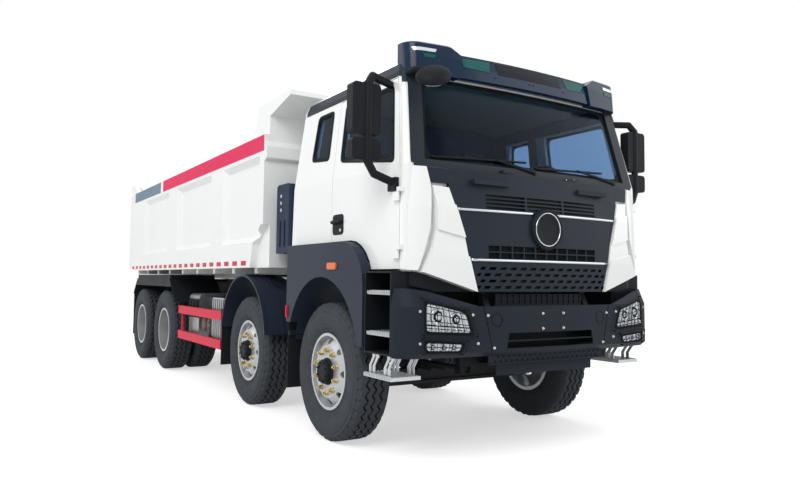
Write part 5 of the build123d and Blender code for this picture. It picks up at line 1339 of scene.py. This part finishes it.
@dataclass
class SideFittings:
    """Step ribs, side markers and mud flaps with raised dots."""

    # Height, rear and front end, and inner edge of each tread.
    treads: tuple[tuple[float, float, float, float], ...] = ((0.910, 0.722, 1.030, 0.925),
                                                             (1.190, 0.722, 1.030, 0.925),
                                                             (0.620, 0.690, 1.040, 1.000))
    tread_edge: float = 1.222
    rib_pitch: float = 0.034
    rib_half: Pair = (0.004, 0.003)
    tooth_pitch: float = 0.022
    tooth_y: float = 1.226
    tooth_half: Trio = (0.006, 0.003, 0.010)
    amber: Pair = (0.205, 1.366)
    amber_size: Trio = (0.155, 0.052, 0.020)
    red: Pair = (-0.642, 0.985)
    red_size: Trio = (0.036, 0.105, 0.010)
    # Where a marker's foot and its raised middle start.
    marker_faces: Pair = (1.243, 1.254)
    flaps: tuple[tuple[str, tuple[float, ...]], ...] = (("front", (-0.640, 0.700, 1.232, 0.330, 0.900)),
                                                        ("second", (-2.440, 0.870, 1.236, 0.330, 0.930)),
                                                        ("rear", (-7.000, 0.640, 1.232, 0.340, 1.020)))
    flap_thick: float = 0.008
    dot_pitch: float = 0.042
    dot_radius: float = 0.007

    def ribs(self, side: Side) -> Surface:
        """Level ribs along every tread, and serrations on its outer edge."""
        surface = Surface()
        for z, rear, front, inner in self.treads:
            y = np.arange(inner + 0.012, self.tread_edge, self.rib_pitch)
            centres = points_at((rear + front) / 2, y, z + 0.001)
            surface.add(*blocks(place(centres, side), ((front - rear) / 2, *self.rib_half)))
            x = np.arange(rear + 0.010, front, self.tooth_pitch)
            surface.add(*blocks(place(points_at(x, self.tooth_y, z - 0.011), side), self.tooth_half))
        return surface

    def flap(self, sizes: Sequence[float], side: Side) -> Surface:
        """Rubber flap with a clamp bar along its top and rows of raised dots on its front.

        Args:
            sizes: Place forward of the first axle, inner and outer Y, lowest and highest Z.
            side: Which side of the truck.

        Returns:
            The flap's mesh.
        """
        x, inner, outer, low, high = sizes
        y, z = cells(np.linspace(inner, outer, 10), np.linspace(low, high, 12))
        sag = 0.006 * np.sin((high - z) / (high - low) * math.pi) * np.cos((y - inner) / (outer - inner) * 2 * math.pi)
        sheet = place(points_at(x + sag, y, z), side)
        surface = Surface().add(*plate(sheet, sheet - self.flap_thick * FORWARD))
        surface.add(*box_between((x - 0.004, x + 0.032), (inner, outer), (high - 0.120, high - 0.080), side))
        y, z = cells(np.arange(inner + 0.030, outer - 0.020, self.dot_pitch),
                     np.arange(low + 0.030, high - 0.220, self.dot_pitch))
        dots = place(points_at(x - 0.004, y, z), side)
        return surface.add(*prisms(polygon(self.dot_radius, 6), dots, LEFTWARD, UPWARD, 0.012))

    def build(self) -> None:
        """Make the fittings of both sides."""
        for side in Side:
            self.ribs(side).piece(f"step_ribs_{side.word}", Finishes.ALUMINIUM, "chassis", "tread_alloy")
            across = -side.value * FORWARD
            foot, face = self.marker_faces
            for word, (x, z), size, finish, slot in (
                    ("amber", self.amber, self.amber_size, Finishes.AMBER_LENS, "lamp_lens"),
                    ("red", self.red, self.red_size, Finishes.RED_LENS, "guard_red")):
                width, height, radius = size
                lens = Surface().add(*prisms(rounded(*size), place((x, foot, z), side), across, UPWARD, 0.012))
                lens.add(*prisms(rounded(width - 0.02, height - 0.02, radius / 2), place((x, face, z), side), across,
                                 UPWARD, 0.004))
                lens.piece(f"{word}_marker_{side.word}", finish, "chassis", slot)
            for word, sizes in self.flaps:
                self.flap(sizes, side).piece(f"{word}_flap_{side.word}", Finishes.FLAP, "chassis", "black_plastic")


@dataclass
class ChassisFittings:
    """Rail bolts, guard upstands, box covers, tank straps and caps, air cleaner catches and tail lamp lenses."""

    rail_y: float = 0.435
    rail_margin: float = 0.300
    bolt_rows: tuple[float, ...] = (0.880, 0.960, 1.040)
    bolt_pitch: float = 0.210
    bolt_radius: float = 0.013
    upstands: tuple[Outline, ...] = (((-6.720, -4.706), (1.222, 1.232), (1.240, 1.304)),
                                     ((-4.711, -4.701), (0.620, 1.227), (1.240, 1.304)))
    battery_shield: tuple[float, float, float, float] = (-3.120, -2.704, 0.570, 1.036)
    shield_y: float = -1.1235
    silencer_cover: tuple[float, float, float, float] = (-4.190, -3.770, 0.760, 0.998)
    cover_y: float = -1.1030
    sheet_half: float = 0.003
    rib_pitch: float = 0.070
    rib_half: Pair = (0.018, 0.006)
    strap_places: tuple[float, ...] = (-3.520, -2.880, -4.180)
    strap_centre: Pair = (0.845, 0.790)
    strap_half: float = 0.028
    caps: tuple[tuple[float, Outline], ...] = ((-2.760, ((0.062, 0), (0.062, 0.030), (0.055, 0.045), (0.010, 0.048))),
                                               (-4.020, ((0.048, 0), (0.048, 0.040), (0.040, 0.052), (0.008, 0.054))))
    catches: tuple[float, ...] = (2.030, 1.965, 1.900)
    catch_profile: Outline = ((0.017, 0), (0.017, 0.006), (0.010, 0.010))
    tail_z: float = 0.700

    def strap(self, x: float) -> Mesh:
        """Steel band round a left tank."""
        outer, inner = rounded(0.582, 0.592, 0.096, 6), rounded(0.566, 0.576, 0.088, 6)
        half, (y, z) = self.strap_half, self.strap_centre
        rows = ((outer, -half), (outer, half), (inner, half), (inner, -half))
        return band(*[place(points_at(x + shift, ring[:, 0] + y, ring[:, 1] + z)) for ring, shift in rows])

    def ribbed_sheet(self, sizes: Sequence[float], y: float) -> Surface:
        """Upright sheet with standing ribs on the right side of a box.

        Args:
            sizes: Rear and front end forward of the first axle, lowest and highest Z.
            y: Place of the sheet's middle, negative on the right.

        Returns:
            The sheet's mesh.
        """
        rear, front, low, high = sizes
        surface = Surface().add(*box_between((rear, front), (y - self.sheet_half, y + self.sheet_half), (low, high)))
        x = np.arange(rear + self.rib_pitch / 2, front - 0.020, self.rib_pitch)
        ribs = place(points_at(x, y - 0.008, (low + high) / 2))
        return surface.add(*blocks(ribs, (*self.rib_half, (high - low) / 2 - 0.020)))

    def frame_fittings(self) -> None:
        """Make the rails' bolts, the box covers and the upstands on the rear guards."""
        low, high = low_high("chassis_frame")
        bolts, upstands = Surface(), Surface()
        x, z = cells(np.arange(low[0] + self.rail_margin, high[0] - self.rail_margin, self.bolt_pitch),
                     np.array(self.bolt_rows))
        for side in Side:
            spots = points_at(x, side.value * self.rail_y, z)
            bolts.add(*prisms(polygon(self.bolt_radius, 6), spots, -side.value * FORWARD, UPWARD, 0.012))
            for ends in self.upstands:
                upstands.add(*box_between(*ends, side))
        bolts.piece("rail_bolts", Finishes.CAST, "chassis", "cast_steel")
        shield = self.ribbed_sheet(self.battery_shield, self.shield_y)
        shield.piece("battery_shield", Finishes.SHIELD, "chassis", "tank_grey")
        cover = self.ribbed_sheet(self.silencer_cover, self.cover_y)
        cover.piece("silencer_cover", Finishes.BLACK_PLASTIC, "chassis", "black_plastic")
        upstands.piece("guard_upstands", Finishes.BLACK_PLASTIC, "chassis", "black_plastic")

    def tank_fittings(self) -> None:
        """Make the tanks' straps and caps, and the air cleaner's catches and ribs."""
        straps, catches = Surface(), Surface()
        for spot in self.strap_places:
            straps.add(*self.strap(spot))
        for x, cap in self.caps:
            straps.add(*turned(cap, place((x, 0.800, 1.075)), UPWARD, 24))
        straps.piece("tank_straps", Finishes.HOIST, "chassis", "tank_grey")
        for height in self.catches:
            catches.add(*turned(self.catch_profile, place((-1.050, -1.149, height)), -LEFTWARD, 16))
        catches.piece("cleaner_catches", Finishes.ALUMINIUM, "chassis", "tread_alloy")
        ribs = Surface().add(*blocks(place([(-1.075, -1.152, 1.680), (-0.975, -1.152, 1.680)]), (0.012, 0.006, 0.120)))
        ribs.piece("cleaner_ribs", Finishes.CLEANER, "chassis", "black_plastic")

    def tail_lamps(self) -> None:
        """Make a stepped lens for every tail lamp."""
        rear = low_high("lamps")[0][0]
        for side in Side:
            for word, y, finish, slot in (("amber", 1.070, Finishes.AMBER_LENS, "lamp_lens"),
                                          ("red", 0.965, Finishes.RED_LENS, "guard_red"),
                                          ("clear", 0.865, Finishes.LENS, "lamp_lens")):
                lens = Surface()
                for outline, x, depth in ((rounded(0.092, 0.088, 0.012), rear + 0.002, -0.014),
                                          (rounded(0.070, 0.066, 0.010), rear - 0.011, -0.005)):
                    lens.add(*prisms(outline, (x, side.value * y, self.tail_z), LEFTWARD, UPWARD, depth))
                lens.piece(f"tail_{word}_{side.word}", finish, "chassis", slot)

    def build(self) -> None:
        """Make the fittings."""
        self.frame_fittings()
        self.tank_fittings()
        self.tail_lamps()


@dataclass
class Tyres:
    """Road tyres with zig-zag tread grooves."""

    radius: float = 0.540
    width: float = 0.300
    tread: float = 0.246
    bead_radius: float = 0.2885
    bead_half: float = 0.1125
    groove_depth: float = 0.014
    groove_half: float = 0.0085
    groove_places: tuple[float, ...] = (-0.060, 0.0, 0.060)
    zigzag: float = 0.015
    waves: int = 40
    steps: int = 160
    shoulder_notch: float = 0.012
    # Offset from the middle and radius, from the bead out to the shoulder.
    sidewall: Outline = ((0.1125, 0.300), (0.1245, 0.318), (0.1285, 0.326), (0.1265, 0.330), (0.1345, 0.346),
                         (0.1385, 0.350), (0.1370, 0.358), (0.1425, 0.376), (0.1495, 0.432), (0.1470, 0.464),
                         (0.1495, 0.467), (0.1485, 0.473), (0.1445, 0.476), (0.1400, 0.496), (0.1420, 0.499),
                         (0.1385, 0.507), (0.1325, 0.512))

    def profile(self) -> tuple[Array, Array, Array]:
        """Section of the tyre.

        Returns:
            Offsets across, radii, and how far each point swings with the zig-zag.
        """
        shoulder, crown = self.tread / 2, self.radius - 0.002
        side = [*self.sidewall, (shoulder + 0.002, self.radius - 0.014), (shoulder - 0.012, crown),
                (shoulder - 0.030, crown)]
        rows = [(-self.bead_half, self.bead_radius, 0)] + [(-offset, radius, 0) for offset, radius in side]
        for groove in self.groove_places:
            for offset, depth in ((-1.25, 0), (-0.8, 1), (0.8, 1), (1.25, 0)):
                rows.append((groove + offset * self.groove_half, self.radius - depth * self.groove_depth, 1))
        rows += [(*spot, 0) for spot in side[::-1]] + [(self.bead_half, self.bead_radius, 0)]
        return tuple(np.array(rows).T)

    def swings(self) -> tuple[Array, Array]:
        """Angles round the tyre, and a triangle wave of them from -1 to 1."""
        angle = np.arange(self.steps) * 2 * math.pi / self.steps
        return angle, 2 * np.abs(2 * ((angle * self.waves / (2 * math.pi)) % 1) - 1) - 1

    def groove_shade_ribbon(self, centre: Array, groove: float) -> Mesh:
        """Painted shade: a dark ribbon on a groove's floor, which swings with the groove."""
        angle, wave = self.swings()
        loops = []
        for offset, rise in ((-0.78, 0.0006), (0.78, 0.0006), (0.78, -0.001), (-0.78, -0.001)):
            out = self.radius - self.groove_depth + rise
            across = groove + offset * self.groove_half + self.zigzag * wave
            loops.append(centre + points_at(out * np.sin(angle), across, out * np.cos(angle)))
        return band(*loops)

    def ring(self, centre: Array) -> Mesh:
        """One tyre: the section turned about Y, its groove walls swinging as a triangle wave of the angle.

        Args:
            centre: Middle of the tyre.

        Returns:
            Vertices and quads.
        """
        offset, radius, swing = self.profile()
        angle, wave = self.swings()
        across = offset[None] + self.zigzag * swing[None] * wave[:, None]
        notch = (wave > 0.0)[:, None] & (np.abs(np.abs(offset) - self.tread / 2) < 0.013)[None]
        out = np.broadcast_to(radius, across.shape) - self.shoulder_notch * notch
        points = centre + points_at(out * np.sin(angle)[:, None], across, out * np.cos(angle)[:, None])
        return points.reshape(-1, 3), grid_faces(self.steps, len(offset), True, True)

    def build(self) -> None:
        """Make every tyre and let it stand for the plain one."""
        for side in Side:
            for axle in (1, 2, 3, 4):
                node = f"tyre_{axle}_{side.word}"
                low, high = low_high(node)
                centre = (low + high) / 2
                spread = (high - low)[1] / 2 - self.width / 2
                surface, shade_floors = Surface(), Surface()
                for shift in ((0.0,) if spread < 0.01 else (-spread, spread)):
                    surface.add(*self.ring(centre + [0, shift, 0]))
                    for groove in self.groove_places:
                        shade_floors.add(*self.groove_shade_ribbon(centre + [0, shift, 0], groove))
                body = f"wheel_{axle}_{side.word}"
                # The dark ribbons are painted shade in the grooves.
                shade_floors.piece(f"tread_grooves_{axle}_{side.word}", Finishes.SEAL, body, "tyre_black")
                piece = surface.piece(f"treaded_tyre_{axle}_{side.word}", Finishes.RUBBER, body, "tyre_black")
                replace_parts(piece, node)


@dataclass
class WheelFittings:
    """Nuts, studs and hub caps on the wheel discs."""

    nuts: int = 10
    nut_circle: float = 0.1675
    # Collar, nut and stud: radius, corners and height of each.
    nut_parts: tuple[tuple[float, int, float], ...] = ((0.024, 16, 0.005), (0.019, 6, 0.026), (0.011, 10, 0.040))
    cap_bolts: int = 8
    cap_circle: float = 0.074
    cap_bolt: float = 0.008
    front_face: float = 0.128
    twin_face: float = 0.020
    front_cap: Outline = ((0.106, 0.126), (0.106, 0.134), (0.098, 0.142), (0.094, 0.168), (0.086, 0.178),
                          (0.060, 0.183), (0.055, 0.179), (0.006, 0.179))
    twin_cap: Outline = ((0.118, 0.018), (0.118, 0.030), (0.106, 0.040), (0.098, 0.138), (0.088, 0.150),
                         (0.060, 0.155), (0.055, 0.150), (0.006, 0.150))

    def places(self, centre: Array, face: float) -> Array:
        """Foot of every nut on a disc face."""
        spots = polygon(self.nut_circle, self.nuts, math.pi / self.nuts)
        return points_at(centre[0] + spots[:, 0], face, centre[2] + spots[:, 1])

    def build(self) -> None:
        """Make the nuts and the hub cap of every wheel."""
        ring = polygon(self.cap_circle, self.cap_bolts, math.pi / self.cap_bolts)
        for side in Side:
            across, up = FORWARD, -side.value * UPWARD
            for axle in (1, 2, 3, 4):
                tyre = middle(f"tyre_{axle}_{side.word}")
                offset = self.front_face if axle < 3 else self.twin_face
                feet = self.places(tyre, tyre[1] + side.value * offset)
                surface = Surface()
                for radius, corners, height in self.nut_parts:
                    surface.add(*prisms(polygon(radius, corners), feet, across, up, height))
                body = f"wheel_{axle}_{side.word}"
                surface.piece(f"wheel_nuts_{axle}_{side.word}", Finishes.YELLOW_ZINC, body, "wheel_silver")
                cap = self.front_cap if axle < 3 else self.twin_cap
                hub = Surface().add(*turned(cap, tyre, side.value * LEFTWARD, 36))
                spots = tyre + points_at(ring[:, 0], side.value * (cap[-3][1] - 0.002), ring[:, 1])
                hub.add(*prisms(polygon(self.cap_bolt, 6), spots, across, up, 0.008))
                hub.piece(f"hub_cap_{axle}_{side.word}", Finishes.BLACK_PLASTIC, body, "cast_steel")


@dataclass
class BedMarkings:
    """Vinyl stripes, red reflectors and the front rail of the bed."""

    half: float = 1.250
    stripe_heights: Pair = (2.486, 2.641)
    red_ends: Pair = (-5.190, -1.262)
    grey_ends: Pair = (-7.060, -5.330)
    proud: float = 0.0015
    reflectors: int = 21
    reflector_ends: Pair = (-7.050, -1.760)
    reflector_size: Pair = (0.140, 0.046)
    reflector_z: float = 1.416
    front_rail: Pair = (2.390, 2.585)

    def build(self) -> None:
        """Make the markings of both sides and the rail across the front wall."""
        for side in Side:
            for word, ends, finish in (("red", self.red_ends, Finishes.STRIPE_RED),
                                       ("grey", self.grey_ends, Finishes.STRIPE_GREY)):
                thick = self.half - self.proud, self.half + self.proud
                strip = Surface().add(*box_between(ends, thick, self.stripe_heights, side))
                strip.piece(f"{word}_stripe_{side.word}", finish, "bed", "white_paint")
            x = np.linspace(*self.reflector_ends, self.reflectors)
            feet = place(points_at(x, self.half - 0.001, self.reflector_z), side)
            marks = Surface().add(*prisms(rounded(*self.reflector_size, 0.006, 3), feet, -side.value * FORWARD, UPWARD,
                                          0.004))
            marks.piece(f"reflectors_{side.word}", Finishes.RED_LENS, "bed", "guard_red")
        low, high = self.front_rail
        section = loop(((0.0, low), (0.0, high), (0.045, high - 0.060), (0.045, low + 0.020)), 0.008, run=2)
        rails = Surface()
        for start, width in ((1.245, 1.125), (-0.120, 1.125)):
            rails.add(*prisms(section, place([(-1.252, start, 0.0)]), FORWARD, UPWARD, width))
        rails.piece("front_rail", Finishes.BED_WHITE, "bed", "white_paint")


@dataclass
class Studio:
    """Pale floor, soft lights and a camera at the photograph's place."""

    eye: Trio = (7.997, -3.629, 1.2685)
    heading_deg: float = 147.51
    pitch_deg: float = 3.552
    roll_deg: float = 0.613
    focal_px: float = 688.72
    image_centre_px: Pair = (402.13, 236.82)
    image_px: tuple[int, int] = (800, 480)
    sky: float = 0.62
    floor_glow: float = 0.56
    floor_half: float = 60.0
    # Name, place, size, power and aim of each lamp.
    lamps: tuple[tuple, ...] = (("key", (9.0, -9.0, 10.0), 7.0, 900.0, (1.0, 0.0, 1.2)),
                                ("fill", (10.0, 8.0, 6.0), 8.0, 300.0, (2.0, 0.0, 1.2)),
                                ("bed", (-4.5, -9.0, 5.5), 7.0, 190.0, (-3.0, -1.0, 1.8)),
                                ("back", (-10.0, 4.0, 9.0), 8.0, 350.0, (0.0, 0.0, 1.0)))

    @staticmethod
    def stand(name: str, data: bpy.types.ID, *axes_and_place: Sequence[float]) -> bpy.types.Object:
        """Put a camera or a lamp in the scene.

        Args:
            name: The object's name.
            data: The camera or lamp.
            *axes_and_place: Its right, up and backward directions, and where it stands.

        Returns:
            The new object.
        """
        made = bpy.data.objects.new(name, data)
        matrix = np.eye(4)
        matrix[:3] = np.column_stack(axes_and_place)
        made.matrix_world = Matrix(matrix.tolist())
        bpy.context.scene.collection.objects.link(made)
        return made

    def camera(self) -> None:
        """Place the camera: it looks along heading and pitch, and rolls about its own line of sight."""
        heading, pitch, roll = (math.radians(a) for a in (self.heading_deg, self.pitch_deg, self.roll_deg))
        forward = np.array([math.cos(heading) * math.cos(pitch), math.sin(heading) * math.cos(pitch), math.sin(pitch)])
        right = np.array([math.sin(heading), -math.cos(heading), 0.0])
        up = np.cross(right, forward)
        right, up = (math.cos(roll) * right + math.sin(roll) * up, math.cos(roll) * up - math.sin(roll) * right)
        data = bpy.data.cameras.new("photograph_camera")
        width, height = self.image_px
        data.sensor_fit = "HORIZONTAL"
        data.lens = self.focal_px * data.sensor_width / width
        data.shift_x = (width / 2 - self.image_centre_px[0]) / width
        data.shift_y = (self.image_centre_px[1] - height / 2) / width
        data.clip_end = 200.0
        bpy.context.scene.camera = self.stand("photograph_camera", data, right, up, -forward, self.eye)

    def floor(self) -> None:
        """Lay a wide pale floor under the wheels."""
        half = self.floor_half
        mesh = bpy.data.meshes.new("studio_floor")
        mesh.from_pydata([(-half, -half, 0), (half, -half, 0), (half, half, 0), (-half, half, 0)], [], [(0, 1, 2, 3)])
        material = bpy.data.materials.new("matte_white_floor")
        material.use_nodes = True
        tree = material.node_tree
        shader = tree.nodes["Principled BSDF"]
        shader.inputs["Base Color"].default_value = linear("d8d8d8")
        shader.inputs["Roughness"].default_value = 0.9
        shader.inputs["Emission Color"].default_value = linear("ffffff")
        seen = add_node(tree, "ShaderNodeMath", {1: self.floor_glow}, {0: self.seen_ray(tree)}, operation="MULTIPLY")
        tree.links.new(seen.outputs[0], shader.inputs["Emission Strength"])
        mesh.materials.append(material)
        floor = bpy.data.objects.new("studio_floor", mesh)
        bpy.context.scene.collection.objects.link(floor)

    @staticmethod
    def seen_ray(tree: bpy.types.NodeTree) -> bpy.types.NodeSocket:
        """Socket that is 1 for rays from the camera, mirrored rays and rays through glass, and 0 for the rest."""
        path = add_node(tree, "ShaderNodeLightPath").outputs
        mirrored = add_node(tree, "ShaderNodeMath", links={0: path["Is Camera Ray"], 1: path["Is Glossy Ray"]},
                            operation="MAXIMUM")
        through = add_node(tree, "ShaderNodeMath", links={0: mirrored.outputs[0], 1: path["Is Transmission Ray"]},
                           operation="MAXIMUM")
        return through.outputs[0]

    def lights(self) -> None:
        """Hang a large soft key over the right front, a fill over the left, and lamps beside the bed and behind."""
        for name, spot, size, power, aim in self.lamps:
            lamp = bpy.data.lights.new(f"studio_{name}", "AREA")
            lamp.size, lamp.energy = size, power
            away = np.array(spot) - np.array(aim)
            away /= np.linalg.norm(away)
            right = np.cross(UPWARD, away)
            right /= np.linalg.norm(right)
            self.stand(f"studio_{name}", lamp, right, np.cross(away, right), away, spot)

    def world(self) -> None:
        """Light evenly from all round, with white behind the truck."""
        world = bpy.data.worlds.new("studio_world")
        world.use_nodes = True
        tree = world.node_tree
        background = tree.nodes["Background"]
        background.inputs["Color"].default_value = linear("ffffff")
        strength = add_node(tree, "ShaderNodeMapRange", {"To Min": self.sky, "To Max": 1.0},
                            {"Value": self.seen_ray(tree)})
        tree.links.new(strength.outputs["Result"], background.inputs["Strength"])
        bpy.context.scene.world = world

    def build(self) -> None:
        """Set the whole studio up."""
        bpy.context.scene.view_settings.view_transform = "Standard"
        self.camera()
        self.floor()
        self.lights()
        self.world()


def finish_nodes() -> None:
    """Give every CAD node the finish of its kind: the longest matching name wins."""
    for node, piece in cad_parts.items():
        kind = max((key for key in NODE_FINISHES if node.startswith(key)), key=len)
        piece.data.materials.clear()
        piece.data.materials.append(NODE_FINISHES[kind].build())


def main() -> None:
    """Dress the truck and set up the studio."""
    logging.basicConfig(level=logging.INFO, format="%(name)s: %(message)s")
    finish_nodes()
    for assembly in (Tyres, WheelFittings, BedMarkings, LidTrim, WindscreenTrim, TiltArmCovers, VisorTrim, KerbMirror,
                     CabSides, CabLining, CabFittings, FrontLamps, BumperTrim, SideFittings, ChassisFittings, Studio):
        assembly().build()


if __name__ == "__main__":
    main()
